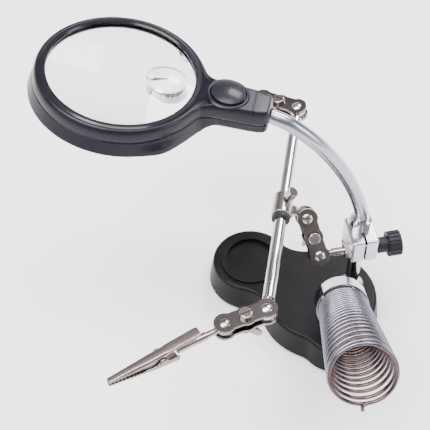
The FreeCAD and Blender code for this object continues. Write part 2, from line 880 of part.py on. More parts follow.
def make_link(link):
    inner = S.link_gap / 2
    outer = inner + S.link_thickness
    plates = []
    for side in (1, -1):
        floor = inner if side > 0 else -outer
        middle = S.link_spacing / 2
        bar = box(S.link_spacing, 2 * S.link_waist, S.link_thickness, 0, -S.link_waist, floor)
        eyes = [
            cylinder(S.link_eye, S.link_thickness, x, 0, floor)
            for x in (as_size(0), S.link_spacing)
        ]
        boss = cylinder(S.link_waist + 0.6, S.link_thickness, middle, 0, floor)
        seats = [
            sphere(S.ball_radius + S.running_gap, x) for x in (as_size(0), S.link_spacing)
        ]
        hole = cylinder(S.link_bolt_radius, S.link_thickness, middle, 0, floor)
        plates.append(cut(fuse(bar, boss, *eyes), *seats, hole))
    sub_part(group(plates), f"{link.name}_plates", link.frame)

    head = cylinder(S.link_head_radius, S.link_head_height, S.link_spacing / 2, 0, outer)
    head = rounded(head, 0.6, level_edge(float(outer + S.link_head_height)))
    drive = box(
        2 * S.link_head_radius,
        0.8,
        1.0,
        S.link_spacing / 2 - S.link_head_radius,
        -0.4,
        outer + S.link_head_height - 0.8,
    )
    head = cut(head, drive)
    length = 2 * outer + S.wing_hub_height + 2.0
    shank = cylinder(S.link_bolt_radius, length, S.link_spacing / 2, 0, outer - length)
    sub_part(fuse(head, shank), f"{link.name}_bolt", link.frame)

    top = -outer - 0.3
    hub = cone(
        S.wing_hub_radius,
        S.wing_hub_radius - 0.7,
        S.wing_hub_height,
        S.link_spacing / 2,
        0,
        top,
        DOWN,
    )
    wings = box(
        S.wing_thickness,
        S.wing_span,
        S.wing_hub_height,
        S.link_spacing / 2 - S.wing_thickness / 2,
        -S.wing_span / 2,
        top - S.wing_hub_height - S.wing_rise + 2.5,
    )
    wings = rounded(wings, 1.6, lambda edge: abs(edge.tangentAt(edge.FirstParameter).x) > 0.9)
    bore_height = S.wing_hub_height + S.wing_rise
    bore = cylinder(
        S.link_bolt_radius + S.running_gap, bore_height, S.link_spacing / 2, 0, top - bore_height
    )
    sub_part(cut(fuse(hub, wings), bore), f"{link.name}_wing_nut", link.frame)


# ---------------------------------------------------------------- cross rod
def rod_points():
    """Works out the chain block - link - sleeve - rod from the turns in the sheet."""
    ball_1 = (
        Vector(0, 0, BOLT_LEVEL.value)
        - BLOCK_X * S.ball_offset.value
        - BLOCK_BACK * S.bolt_front.value
    )
    lean = math.radians(S.link_lean.value)
    normal = BLOCK_BACK * -math.cos(lean) + Vector(0, 0, math.sin(lean))
    upward = normal.cross(BLOCK_X)
    swing = math.radians(S.link_swing.value)
    along = upward * math.cos(swing) - BLOCK_X * math.sin(swing)
    first = Link("block_link", ball_1, along, normal)
    rod = level(S.rod_turn)
    reach = normal.cross(rod).normalize()
    sleeve = first.far_ball + reach * S.sleeve_reach.value
    front_ball = sleeve - rod * S.rod_front.value
    rear_ball = sleeve + rod * S.rod_rear.value
    front = Link("front_link", front_ball, level(S.front_link_turn), Vector(0, 0, 1))
    tilt = Rotation(rod, -S.rear_link_tilt.value)
    rear_normal = tilt.multVec(Vector(0, 0, 1))
    rear = Link("rear_link", rear_ball, tilt.multVec(level(S.rear_link_turn)), rear_normal)
    clip = tilt.multVec(level(S.rear_clip_turn))
    return {
        "first": first,
        "front": front,
        "rear": rear,
        "rod": rod,
        "reach": reach,
        "sleeve": sleeve,
        "front_clip": frame_at(front.far_ball, level(S.front_clip_turn), Vector(0, 0, 1)),
        "rear_clip": frame_at(rear.far_ball, clip, rear_normal),
    }


CHAIN = rod_points()


def make_sleeve():
    """The sleeve's frame: x runs along the rod, z points back to the ball of the first link."""
    frame = frame_at(CHAIN["sleeve"], CHAIN["rod"], -CHAIN["reach"])
    barrel = cylinder(
        S.sleeve_radius, S.sleeve_length, -S.sleeve_length / 2, 0, 0, ALONG_X
    )
    barrel = rounded(barrel, 0.6, lambda edge: edge.Length < 40 and edge.Closed)
    boss = cylinder(S.stem_radius + 1.3, S.sleeve_radius + 1.4)
    stem = cylinder(S.stem_radius, S.sleeve_reach)
    ball = sphere(S.ball_radius, 0, 0, S.sleeve_reach)
    bore = cylinder(
        S.rod_radius + S.running_gap, S.sleeve_length, -S.sleeve_length / 2, 0, 0, ALONG_X
    )
    side = ALONG_Y
    screw_x = S.sleeve_length / 2 - 3.5
    thread = cylinder(S.sleeve_screw_radius, S.sleeve_radius + 2, screw_x, 0, 0, side)
    sub_part(cut(fuse(barrel, boss, stem, ball), bore, thread), "cross_sleeve", frame)
    ring = cylinder(
        S.sleeve_radius - 0.4,
        S.sleeve_ring_width,
        -S.sleeve_length / 2 - S.sleeve_ring_width,
        0,
        0,
        ALONG_X,
    )
    hole = cylinder(
        S.rod_radius + S.running_gap,
        S.sleeve_ring_width,
        -S.sleeve_length / 2 - S.sleeve_ring_width,
        0,
        0,
        ALONG_X,
    )
    sub_part(cut(ring, hole), "sleeve_ring", frame)
    tip = S.rod_radius + 2 * S.running_gap
    shank_end = S.sleeve_radius + 1.0
    shank = cylinder(
        S.sleeve_screw_radius - S.running_gap, shank_end - tip, screw_x, tip, 0, side
    )
    head = cylinder(S.sleeve_screw_head, S.sleeve_screw_length, screw_x, shank_end, 0, side)
    head = rounded(head, 0.5, lambda edge: edge.Closed)
    sub_part(fuse(shank, head), "sleeve_screw", frame)


def make_rod():
    """A straight rod with a ball on a thin neck at each end."""
    frame = frame_at(CHAIN["sleeve"], CHAIN["rod"], Vector(0, 0, 1))
    start = -(S.rod_front - S.stem_neck)
    bar = cylinder(
        S.rod_radius, S.rod_front + S.rod_rear - 2 * S.stem_neck, start, 0, 0, ALONG_X
    )
    neck = cylinder(S.stem_radius, S.rod_front + S.rod_rear, -S.rod_front, 0, 0, ALONG_X)
    balls = [sphere(S.ball_radius, x) for x in (-S.rod_front, S.rod_rear)]
    sub_part(fuse(bar, neck, *balls), "cross_rod", frame)


# ---------------------------------------------------------------- clips
def side_taper(body):
    """Narrows a clip's half from its pivot towards its tip."""
    sketch = new_sketch(body, "XY_Plane", "side_taper")
    wide, narrow = S.clip_width / 2 + 1, S.clip_tip_width / 2
    start = S.clip_pivot + 2
    for sign in (1, -1):
        polygon(
            sketch,
            [
                (start, wide * sign),
                (S.clip_length + 1, wide * sign),
                (S.clip_length + 1, narrow * sign),
                (start, (S.clip_width / 2) * sign),
            ],
        )
    pocket(body, sketch, 40, middle=True)


def make_clip(name, frame):
    half = S.clip_width / 2
    sheet_ = S.clip_sheet
    body = new_body(f"{name}_fixed_jaw")
    side = new_sketch(body, "XZ_Plane", "jaw_side")
    pin_top = S.clip_pin_radius + 1.6
    polygon(
        side,
        [
            (S.clip_channel_start, -S.clip_height),
            (S.clip_length, -S.clip_tip_height),
            (S.clip_length, -S.clip_mouth_gap),
            (S.clip_pivot + 4, -S.clip_mouth_gap),
            (S.clip_pivot + 2, pin_top),
            (S.clip_pivot - 2, pin_top),
            (S.clip_pivot - 4, -S.clip_mouth_gap),
            (S.clip_channel_start, -S.clip_mouth_gap),
        ],
    )
    pad(body, side, S.clip_width, middle=True)
    hollow = new_sketch(body, "XZ_Plane", "jaw_hollow")
    polygon(
        hollow,
        [
            (S.clip_channel_start + sheet_, -S.clip_height + sheet_ + 0.3),
            (S.clip_length - sheet_, -S.clip_tip_height + sheet_),
            (S.clip_length - sheet_, pin_top + 1),
            (S.clip_channel_start + sheet_, pin_top + 1),
        ],
    )
    pocket(body, hollow, S.clip_width - 2 * sheet_, middle=True)
    tip_side = new_sketch(body, "XZ_Plane", "tip_fill")
    polygon(
        tip_side,
        [
            (S.clip_length - 7, -S.clip_tip_height - 0.5),
            (S.clip_length, -S.clip_tip_height),
            (S.clip_length, -S.clip_mouth_gap),
            (S.clip_length - 7, -S.clip_mouth_gap),
        ],
    )
    pad(body, tip_side, S.clip_tip_width, middle=True)
    side_taper(body)
    pin_hole = new_sketch(body, "XZ_Plane", "pin_hole")
    circle(pin_hole, S.clip_pin_radius, S.clip_pivot, 0.5)
    pocket(body, pin_hole, S.clip_width + 2, middle=True)
    sub_part(body, f"{name}_fixed_jaw", frame)

    barrel_length = S.clip_channel_start + sheet_ - S.clip_barrel_start
    barrel = cylinder(S.clip_barrel_radius, barrel_length, S.clip_barrel_start, rotation=ALONG_X)
    stem = cylinder(S.stem_radius, S.clip_barrel_start, rotation=ALONG_X)
    ball = sphere(S.ball_radius, rotation=ALONG_X)
    shoulder = fuse(ball, stem, barrel)
    wall = box(S.clip_length, 20, 20, S.clip_channel_start, -10, -10)
    sub_part(cut(shoulder, wall), f"{name}_ball_tail", frame)

    inner = half - sheet_ - S.clip_side_gap
    body = new_body(f"{name}_moving_jaw")
    side = new_sketch(body, "XZ_Plane", "jaw_side")
    low = -(S.clip_pin_radius + 0.6)
    polygon(
        side,
        [
            (S.clip_pivot - 2.5, low),
            (S.clip_pivot + 2.0, low),
            (S.clip_pivot + 5, S.clip_mouth_gap),
            (S.clip_length, S.clip_mouth_gap),
            (S.clip_length, S.clip_tip_height),
            (S.clip_pivot + 2, S.clip_height),
            (S.clip_pivot - 4, S.clip_height + 0.6),
            (S.clip_tail_start, S.clip_tail_rise + 0.9),
            (S.clip_tail_start, S.clip_tail_rise),
            (S.clip_pivot - 5, S.clip_height - 0.6),
        ],
    )
    pad(body, side, 2 * inner, middle=True)
    hollow = new_sketch(body, "XZ_Plane", "jaw_hollow")
    polygon(
        hollow,
        [
            (S.clip_pivot - 3.0, low - 1),
            (S.clip_length - 7, low - 1),
            (S.clip_length - 7, S.clip_tip_height - sheet_ + 0.4),
            (S.clip_pivot + 2, S.clip_height - sheet_),
            (S.clip_pivot - 3.0, S.clip_height - sheet_),
        ],
    )
    pocket(body, hollow, 2 * inner - 2 * sheet_, middle=True)
    side_taper(body)
    pin_hole = new_sketch(body, "XZ_Plane", "pin_hole")
    circle(pin_hole, S.clip_pin_radius + S.running_gap, S.clip_pivot, 0.5)
    pocket(body, pin_hole, S.clip_width + 2, middle=True)
    sub_part(body, f"{name}_moving_jaw", frame)

    overhang = 0.5
    pin = cylinder(
        S.clip_pin_radius,
        S.clip_width + 2 * overhang,
        S.clip_pivot,
        -half - overhang,
        0.5,
        ALONG_Y,
    )
    heads = [
        cylinder(S.clip_pin_radius + 0.5, 0.5, S.clip_pivot, y, 0.5, ALONG_Y)
        for y in (-half - 0.5, half)
    ]
    sub_part(fuse(pin, *heads), f"{name}_pin", frame)
    make_clip_spring(name, frame)


def make_clip_spring(name, frame):
    """A short coil of wire round the pin, between the walls of the moving jaw."""
    wire = 0.35
    ring = S.clip_pin_radius.value + 0.4 + wire
    span = S.clip_width.value - 4 * S.clip_sheet.value - 2 * S.clip_side_gap.value - 1.2
    path = Part.makeHelix(span / 4, span, ring)
    section = Part.Wire([Part.makeCircle(wire, Vector(ring, 0, 0), Vector(0, 1, 0))])
    coil = Part.Wire(path.Edges).makePipeShell([section], True, True)
    feature = doc.addObject("Part::Feature", "ClipSpring")
    feature.Shape = coil
    spot = Placement(Vector(S.clip_pivot.value, -span / 2, 0.5), ALONG_Y)
    sub_part(feature, f"{name}_spring", frame.multiply(spot))


# ---------------------------------------------------------------- lens head frame
LENS = Vector(S.lens_x.value, S.lens_y.value, S.lens_z.value)
LENS_NORMAL = Vector(0.131, 0.04, 0.99).normalize()
HEAD = frame_at(LENS, Vector(0.973, -0.189, -0.13).normalize(), LENS_NORMAL)
GRIP_MIDDLE = (S.grip_top + S.grip_bottom) / 2
GRIP_END = HEAD.multVec(Vector(S.grip_end.value, 0, GRIP_MIDDLE.value))


# ---------------------------------------------------------------- flexible neck
def neck_curve():
    """The neck's centre line at rest: up out of the block, then over to the grip."""
    start = Vector(0, 0, BLOCK_TOP.value + 4)
    leave = Vector(-0.054, 0.004, 1).normalize()
    rise, turn = math.radians(14.4), math.radians(161.4)
    arrive = Vector(
        math.cos(rise) * math.cos(turn), math.cos(rise) * math.sin(turn), math.sin(rise)
    )
    curve = Part.BezierCurve()
    curve.setPoles([start, start + leave * 15.6, GRIP_END - arrive * 29.4, GRIP_END])
    return curve


NECK = neck_curve()


def neck_station(distance):
    """The point and the direction of the neck at a distance along it."""
    at = NECK.parameterAtDistance(float(distance), 0.0)
    return NECK.value(at), NECK.tangent(at)[0]


def neck_joint_distances():
    count = int(S.neck_joints.value)
    first, last = S.neck_first_joint.value, S.neck_last_joint.value
    return [first + (last - first) * i / (count - 1) for i in range(count)]


def neck_tube(start, end):
    """A straight length of neck between two points, hollow for the lead."""
    line = end - start
    frame = Placement(start, Rotation(Vector(0, 0, 1), line))
    skin = cylinder(S.neck_tube_radius, line.Length)
    bore = cylinder(S.neck_tube_bore, line.Length)
    tube = cut(skin, bore)
    return tube, frame


def neck_stub(radius, lean, gap):
    """The neck's root, from its socket up to the collar's mouth, then leaning over."""
    depth = S.neck_socket + S.neck_elbow_rise
    upright = cylinder(radius, depth, z=-depth)
    leaning = cylinder(radius, lean.Length - gap)
    settle(leaning, Placement(Vector(), Rotation(Vector(0, 0, 1), lean)))
    return fuse(upright, sphere(radius), leaning)


def make_neck():
    gap = S.neck_gap.value / 2
    stations = [neck_station(d)[0] for d in neck_joint_distances()]
    collar_top = BLOCK_TOP + S.neck_collar_height
    turned(
        "neck_collar",
        [
            (S.neck_tube_bore, BLOCK_TOP),
            (S.neck_collar_radius, BLOCK_TOP),
            (S.neck_collar_radius, collar_top - 1),
            (S.neck_collar_radius - 1, collar_top),
            (S.neck_tube_radius, collar_top),
            (S.neck_tube_radius, collar_top - S.neck_socket),
            (S.neck_tube_bore, collar_top - S.neck_socket),
        ],
    )
    elbow = Vector(0, 0, (collar_top + S.neck_elbow_rise).value)
    lean = stations[0] - elbow
    stub = neck_stub(S.neck_tube_radius, lean, gap)
    bore = neck_stub(S.neck_tube_bore, lean, gap)
    sub_part(cut(stub, bore), "neck_stub", Placement(elbow, Rotation()))
    for number, (start, end) in enumerate(zip(stations, stations[1:]), start=1):
        unit = (end - start).normalize()
        tube, frame = neck_tube(start + unit * gap, end - unit * gap)
        sub_part(tube, f"neck_segment_{number}", frame)
    last = stations[-1]
    unit = (GRIP_END - last).normalize()
    start = last + unit * gap
    length = (GRIP_END - start).Length
    frame = Placement(start, Rotation(Vector(0, 0, 1), unit))
    tube = cylinder(S.neck_tube_radius, length + 3)
    sleeve = cone(S.ferrule_radius - 0.8, S.ferrule_radius, 5.0, 0, 0, length - 4.5)
    bore = cylinder(S.neck_tube_bore, length + 3)
    sub_part(cut(fuse(tube, sleeve), bore), "neck_ferrule", frame)
    return frame, length


# ---------------------------------------------------------------- lens head
def make_lens():
    """A double convex lens; the small strong lens sits in a hole in it."""
    half = S.lens_edge.value / 2
    rim = S.lens_radius.value
    bulge = S.lens_bulge.value
    top, bottom = Vector(0, 0, half + bulge), Vector(0, 0, -half - bulge)

    def cap(sign):
        sag = Vector(
            rim / 2, 0, sign * (half + sag_at(rim / 2, rim, bulge))
        )
        crown = top if sign > 0 else bottom
        return Part.Arc(Vector(rim, 0, sign * half), sag, crown).toShape()

    outline = Part.Wire(
        [
            Part.makeLine(bottom, top),
            cap(1),
            Part.makeLine(Vector(rim, 0, half), Vector(rim, 0, -half)),
            cap(-1),
        ]
    )
    glass = Part.Face(outline).revolve(Vector(), Vector(0, 0, 1), 360)
    hole = Part.makeCylinder(
        S.small_lens_radius.value, 40, Vector(S.small_lens_offset.value, 0, -20)
    )
    lens = doc.addObject("Part::Feature", "MainLens")
    lens.Shape = glass.cut(hole)
    sub_part(lens, "main_lens", HEAD)

    waist = S.small_lens_height.value / 2
    small = S.small_lens_radius.value
    at = Vector(S.small_lens_offset.value, 0, 0)
    drum = Part.makeCylinder(small, 2 * waist, at - Vector(0, 0, waist))
    ball = (small**2 + 2.4**2) / (2 * 2.4)
    for sign in (1, -1):
        centre = at + Vector(0, 0, sign * (waist + 2.4 - ball))
        dome = Part.makeSphere(ball, centre).common(
            Part.makeCylinder(small, 40, at - Vector(0, 0, 20))
        )
        slab = Part.makeBox(40, 40, 20, Vector(at.x - 20, -20, waist if sign > 0 else -waist - 20))
        drum = drum.fuse(dome.common(slab))
    insert = doc.addObject("Part::Feature", "SmallLens")
    insert.Shape = drum.removeSplitter()
    sub_part(insert, "small_lens", HEAD)


def sag_at(radius, rim, bulge):
    """Height of a spherical cap over its rim at a distance from its axis."""
    ball = (rim**2 + bulge**2) / (2 * bulge)
    return math.sqrt(ball**2 - radius**2) - (ball - bulge)


SCREW_ALONG = S.grip_end - S.grip_cap - 3.2
LENS_SEAT = S.lens_radius + S.lens_gap
# the lens is thicker at the opening than at its edge by what its surface rises on the way there
OPENING_SHARE = S.opening_radius * S.opening_radius / (S.lens_radius * S.lens_radius)
OPENING_RISE = S.lens_bulge * (1 - OPENING_SHARE)
BEZEL_BOTTOM = S.lens_edge / 2 + OPENING_RISE + S.lens_gap
LEDGE_TOP = -BEZEL_BOTTOM


def make_rings():
    turned_local(
        "bezel_ring",
        [
            (S.opening_radius, BEZEL_BOTTOM),
            (S.bezel_radius, BEZEL_BOTTOM),
            (S.bezel_radius, BEZEL_BOTTOM + S.bezel_height - 0.4),
            (S.bezel_radius - 0.8, BEZEL_BOTTOM + S.bezel_height),
            (S.opening_radius + 0.6, BEZEL_BOTTOM + S.bezel_height),
            (S.opening_radius, BEZEL_BOTTOM + S.bezel_height - 0.6),
        ],
    )


def turned_local(name, points):
    return turned(name, points, HEAD)


def make_shells():
    seam = S.seam_level
    upper = new_body("head_upper_shell")
    ring = new_sketch(upper, "XZ_Plane", "ring_outline")
    polygon(
        ring,
        [
            (LENS_SEAT, seam),
            (S.seam_radius, seam),
            (S.rim_radius, S.rim_top),
            (S.bezel_radius, S.rim_top),
            (S.bezel_radius, BEZEL_BOTTOM),
            (LENS_SEAT, BEZEL_BOTTOM),
        ],
    )
    spin = upper.newObject("PartDesign::Revolution", "Revolution")
    spin.Profile = ring
    spin.ReferenceAxis = (ring, ["V_Axis"])
    spin.Angle = 360
    start = S.rim_radius - 0.8
    grip = new_sketch(upper, "YZ_Plane", "grip_section", start)
    grip_section(grip, seam, S.grip_top)
    pad(upper, grip, S.grip_end - S.grip_cap - start)
    hollow = new_sketch(upper, "XY_Plane", "grip_hollow", seam)
    wall = S.grip_wall
    rectangle(hollow, S.seam_radius + 1.2, S.grip_end - S.grip_cap + 1, S.grip_width / 2 - wall)
    pocket(upper, hollow, S.grip_top - seam - wall, upward=True)
    hole = new_sketch(upper, "XY_Plane", "button_hole", S.grip_top)
    circle(hole, S.button_radius + S.button_hole_gap, S.button_offset, 0)
    pocket(upper, hole, wall + 1)
    sub_part(upper, "head_upper_shell", HEAD)

    lower = new_body("head_lower_shell")
    skirt = new_sketch(lower, "XZ_Plane", "skirt_outline")
    polygon(
        skirt,
        [
            (S.opening_radius, LEDGE_TOP - 1.4),
            (S.opening_radius, LEDGE_TOP),
            (LENS_SEAT, LEDGE_TOP),
            (LENS_SEAT, seam),
            (S.seam_radius, seam),
            (S.skirt_radius, S.skirt_bottom),
            (S.skirt_radius - S.skirt_wall, S.skirt_bottom),
            (S.seam_radius - S.skirt_wall, LEDGE_TOP - 3.4),
        ],
    )
    spin = lower.newObject("PartDesign::Revolution", "Revolution")
    spin.Profile = skirt
    spin.ReferenceAxis = (skirt, ["V_Axis"])
    spin.Angle = 360
    start = S.seam_radius - 0.6
    grip = new_sketch(lower, "YZ_Plane", "grip_section", start)
    grip_section(grip, seam, S.grip_bottom)
    pad(lower, grip, S.grip_end - S.grip_cap - start)
    pods = new_sketch(lower, "XY_Plane", "lamp_pods", S.skirt_bottom)
    for sign in (1, -1):
        x, y = led_spot(sign)
        circle(pods, S.pod_radius, x, y)
    pad(lower, pods, seam - S.skirt_bottom)
    hollow = new_sketch(lower, "XY_Plane", "grip_hollow", seam)
    rectangle(hollow, S.seam_radius + 1.2, S.grip_end - S.grip_cap + 1, S.grip_width / 2 - wall)
    pocket(lower, hollow, seam - S.grip_bottom - wall)
    lamps = new_sketch(lower, "XY_Plane", "lamp_holes", S.skirt_bottom)
    for sign in (1, -1):
        x, y = led_spot(sign)
        circle(lamps, S.led_radius, x, y)
    pocket(lower, lamps, S.led_length - 0.5, upward=True)
    screw = new_sketch(lower, "XY_Plane", "screw_hole", S.grip_bottom)
    circle(screw, S.shell_screw_radius, SCREW_ALONG, 0)
    pocket(lower, screw, wall + 0.5, upward=True)
    sub_part(lower, "head_lower_shell", HEAD)


def grip_section(sketch, seam, far):
    """Half of the grip's section: flat at the seam, its far corners cut off."""
    half = S.grip_width / 2
    corner = as_size(1.5)
    near_far = far - corner if far.value > seam.value else far + corner
    polygon(
        sketch,
        [
            (-half, seam),
            (half, seam),
            (half, near_far),
            (half - corner, far),
            (corner - half, far),
            (-half, near_far),
        ],
    )


def led_spot(sign):
    return S.led_ring * cosine(S.led_turn), S.led_ring * sine(S.led_turn) * sign


def make_head_fittings(neck_frame, neck_length):
    leds = []
    for sign in (1, -1):
        x, y = led_spot(sign)
        can_bottom = S.skirt_bottom + S.led_radius - 0.5
        can = cylinder(S.led_radius, S.led_length - S.led_radius, x, y, can_bottom)
        leds.append(fuse(can, sphere(S.led_radius, x, y, can_bottom)))
    sub_part(group(leds), "lamps", HEAD)

    start = S.grip_end - S.grip_cap
    solid = box(
        S.grip_cap,
        S.grip_width,
        S.grip_top - S.grip_bottom,
        start,
        -S.grip_width / 2,
        S.grip_bottom,
    )
    solid = rounded(solid, 4.0, lambda edge: edge.BoundBox.XMin > float(start) + 1 and edge.BoundBox.ZLength > 5)
    solid = rounded(solid, 2.0, lambda edge: edge.BoundBox.XLength > 2 and (level_edge(S.grip_top.value)(edge) or level_edge(S.grip_bottom.value)(edge)))
    into = HEAD.inverse().multiply(neck_frame)
    bore = cylinder(S.neck_tube_radius, neck_length + 3)
    settle(bore, into)
    sleeve = cone(S.ferrule_radius - 0.8, S.ferrule_radius, 5.0)
    settle(sleeve, into.multiply(Placement(Vector(0, 0, neck_length - 4.5), Rotation())))
    sub_part(cut(solid, bore, sleeve), "grip_end_cap", HEAD)

    board_level = S.seam_level - 0.5
    board = box(
        S.board_length,
        S.board_width,
        S.board_thickness,
        S.seam_radius + 1.2,
        -S.board_width / 2,
        board_level - S.board_thickness,
    )
    sub_part(board, "circuit_board", HEAD)
    can_height = S.grip_top - S.grip_wall - board_level - S.button_skirt - S.button_travel - 0.6
    can = box(6.0, 6.0, can_height - 1.0, S.button_offset - 3.0, -3.0, board_level)
    key = cylinder(1.6, 1.0, S.button_offset, 0, board_level + can_height - 1.0)
    sub_part(fuse(can, key), "push_switch", HEAD)

    ball = (S.button_radius.value**2 + 1.6**2) / (2 * 1.6)
    crown = S.grip_top + S.button_rise
    skirt_level = S.grip_top - S.grip_wall - S.button_skirt
    stem = cylinder(S.button_radius, crown - skirt_level, S.button_offset, 0, skirt_level)
    dome = sphere(ball, S.button_offset, 0, crown - ball)
    sub_part(common(stem, dome), "switch_button", HEAD)

    shank = cylinder(S.shell_screw_radius, 4.0, SCREW_ALONG, 0, S.grip_bottom)
    sub_part(shank, "shell_screw", HEAD)


# ---------------------------------------------------------------- coil rest
REST_FOOT = base_frame().multVec(Vector(REST_ALONG.value, REST_ASIDE.value, 0))


def rest_frame():
    """The coil rest's own frame: its origin is over the pedestal, its x axis meets the mouth."""
    rise = math.radians(S.rest_rise.value)
    heading = level(S.rest_heading) * math.cos(rise)
    axis = heading + Vector(0, 0, math.sin(rise))
    return frame_at(REST_FOOT + Vector(0, 0, S.rest_height.value), axis, Vector(0, 0, 1))


def over_lobe(height):
    """The upright frame at a height over the middle of the lobe that carries the rest."""
    return Placement(REST_FOOT + Vector(0, 0, float(height)), Rotation())


def coil_path():
    """Turns lie close behind the cup, then the pitch and the radius grow towards the mouth."""
    start = S.rest_cup_length.value - S.rest_rear.value + S.coil_wire_radius.value + 0.2
    end = S.rest_mouth.value - S.coil_wire_radius.value
    close, open_ = S.coil_close_pitch.value, S.coil_open_pitch.value
    spread_from = start + S.coil_close_length.value
    steps_per_turn = 14
    points = []
    along, angle = start, 0.0
    while along < end:
        share = max(0.0, (along - spread_from) / (end - spread_from))
        pitch = close + (open_ - close) * share
        grown = (along - start) / (end - start)
        radius = S.coil_rear_radius.value
        radius += (S.coil_mouth_radius.value - radius) * grown
        points.append(Vector(along, radius * math.cos(angle), radius * math.sin(angle)))
        along += pitch / steps_per_turn
        angle += 2 * math.pi / steps_per_turn
    for _ in range(steps_per_turn):
        radius = S.coil_mouth_radius.value
        points.append(Vector(end, radius * math.cos(angle), radius * math.sin(angle)))
        end += (2 * S.coil_wire_radius.value + 0.25) / steps_per_turn
        angle += 2 * math.pi / steps_per_turn
    return points


def make_rest():
    frame = rest_frame()
    points = coil_path()
    curve = Part.BSplineCurve()
    curve.interpolate(points)
    path = Part.Wire([curve.toShape()])
    first = curve.tangent(curve.FirstParameter)[0]
    section = Part.Wire([Part.makeCircle(S.coil_wire_radius.value, points[0], first)])
    coil = doc.addObject("Part::Feature", "RestCoil")
    coil.Shape = path.makePipeShell([section], True, True)
    sub_part(coil, "rest_coil", frame)

    outer = S.rest_cup_radius
    inner = outer - S.rest_cup_wall
    wall = S.rest_cup_wall
    length = S.rest_cup_length
    cup_frame = frame.multiply(Placement(Vector(-S.rest_rear.value, 0, 0), ALONG_X))
    turned(
        "rest_cup",
        [
            (as_size(0), as_size(0)),
            (outer - 4.0, as_size(0)),
            (outer - 1.4, as_size(1.0)),
            (outer, as_size(3.4)),
            (outer, length),
            (inner, length),
            (inner, as_size(3.6)),
            (inner - 1.4, wall + 0.8),
            (inner - 3.6, wall),
            (as_size(0), wall),
        ],
        cup_frame,
    )
    column = settle(
        cylinder(S.pedestal_radius, S.rest_height - S.base_height), over_lobe(S.base_height)
    )
    cup_space = settle(
        cylinder(outer, length + 30), cup_frame.multiply(Placement(Vector(0, 0, -15), Rotation()))
    )
    thread = settle(
        cylinder(S.pedestal_screw_radius, PEDESTAL_THREAD), over_lobe(S.base_height)
    )
    sub_part(cut(column, cup_space, thread), "rest_pedestal")
    under_head = S.foot_proud + SCREW_HEAD_SEAT
    head_height = as_size(2.4)
    head = settle(
        cylinder(SCREW_HEAD_RADIUS - 0.4, head_height), over_lobe(under_head - head_height)
    )
    length = S.base_height - under_head + PEDESTAL_THREAD
    shank = settle(cylinder(S.pedestal_screw_radius, length), over_lobe(under_head))
    sub_part(fuse(head, shank), "rest_screw")


PEDESTAL_THREAD = as_size(2.5)

make_base()
make_door()
make_cells()
make_feet()
make_post()
make_block()
for link in (CHAIN["first"], CHAIN["front"], CHAIN["rear"]):
    make_link(link)
make_sleeve()
make_rod()
make_clip("front_clip", CHAIN["front_clip"])
make_clip("rear_clip", CHAIN["rear_clip"])
neck_end_frame, neck_end_length = make_neck()
make_lens()
make_rings()
make_shells()
make_head_fittings(neck_end_frame, neck_end_length)
make_rest()
doc.recompute()

# ---------------------------------------------------------------- check and write
troubled = [
    thing.Label
    for thing in doc.Objects
    if "Invalid" in thing.State or "Error" in thing.State
]
troubled += [
    piece.Label for piece in pieces if piece.Shape.isNull() or not piece.Shape.isValid()
]
if troubled:
    raise RuntimeError(f"these came out wrong: {troubled}")
os.makedirs("parts", exist_ok=True)
for piece in pieces:
    piece.Shape.exportStep(os.path.join("parts", f"{piece.Label}.step"))
print(len(pieces), "sub-parts")
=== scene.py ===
import json
import math

import bmesh
import bpy
import numpy as np
from mathutils import Matrix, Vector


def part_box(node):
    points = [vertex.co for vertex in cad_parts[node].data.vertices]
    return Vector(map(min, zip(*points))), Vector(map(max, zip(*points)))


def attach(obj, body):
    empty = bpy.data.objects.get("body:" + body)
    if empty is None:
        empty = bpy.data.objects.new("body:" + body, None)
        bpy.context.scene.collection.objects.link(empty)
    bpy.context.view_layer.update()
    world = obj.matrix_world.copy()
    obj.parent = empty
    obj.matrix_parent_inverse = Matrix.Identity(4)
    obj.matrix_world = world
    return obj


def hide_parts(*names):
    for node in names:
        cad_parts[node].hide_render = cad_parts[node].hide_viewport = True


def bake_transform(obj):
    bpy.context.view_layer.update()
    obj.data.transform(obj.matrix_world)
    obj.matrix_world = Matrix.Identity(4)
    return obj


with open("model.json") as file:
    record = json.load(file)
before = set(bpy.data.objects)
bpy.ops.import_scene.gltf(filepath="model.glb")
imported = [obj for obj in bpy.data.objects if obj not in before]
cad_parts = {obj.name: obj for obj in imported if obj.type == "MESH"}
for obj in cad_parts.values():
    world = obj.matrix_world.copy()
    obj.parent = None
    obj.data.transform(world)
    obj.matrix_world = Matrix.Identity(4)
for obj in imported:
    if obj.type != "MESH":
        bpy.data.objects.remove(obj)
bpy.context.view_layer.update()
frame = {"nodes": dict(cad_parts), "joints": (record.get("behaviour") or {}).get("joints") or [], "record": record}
nodes = frame["nodes"]
joints = {joint["name"]: joint for joint in frame["joints"]}
TAU = 2 * math.pi
MM = 0.001


# ---------------------------------------------------------------- places in the frame
def unit(v):
    """The vector at a length of one."""
    v = np.asarray(v, float)
    return v / np.linalg.norm(v)


def middle(node):
    """The centre of a node's box."""
    low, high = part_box(node)
    return (np.array(low) + np.array(high)) / 2


def axes(x, z):
    """Three unit rows: z as given, x as near as it can be, and y across them."""
    z = unit(z)
    y = unit(np.cross(z, x))
    return np.array([np.cross(y, z), y, z])


def spot(joint):
    """A joint's place in the frame."""
    return np.array(joints[joint]["pos_m"], float)


def way(joint):
    """A joint's axis."""
    return unit(joints[joint]["axis"])


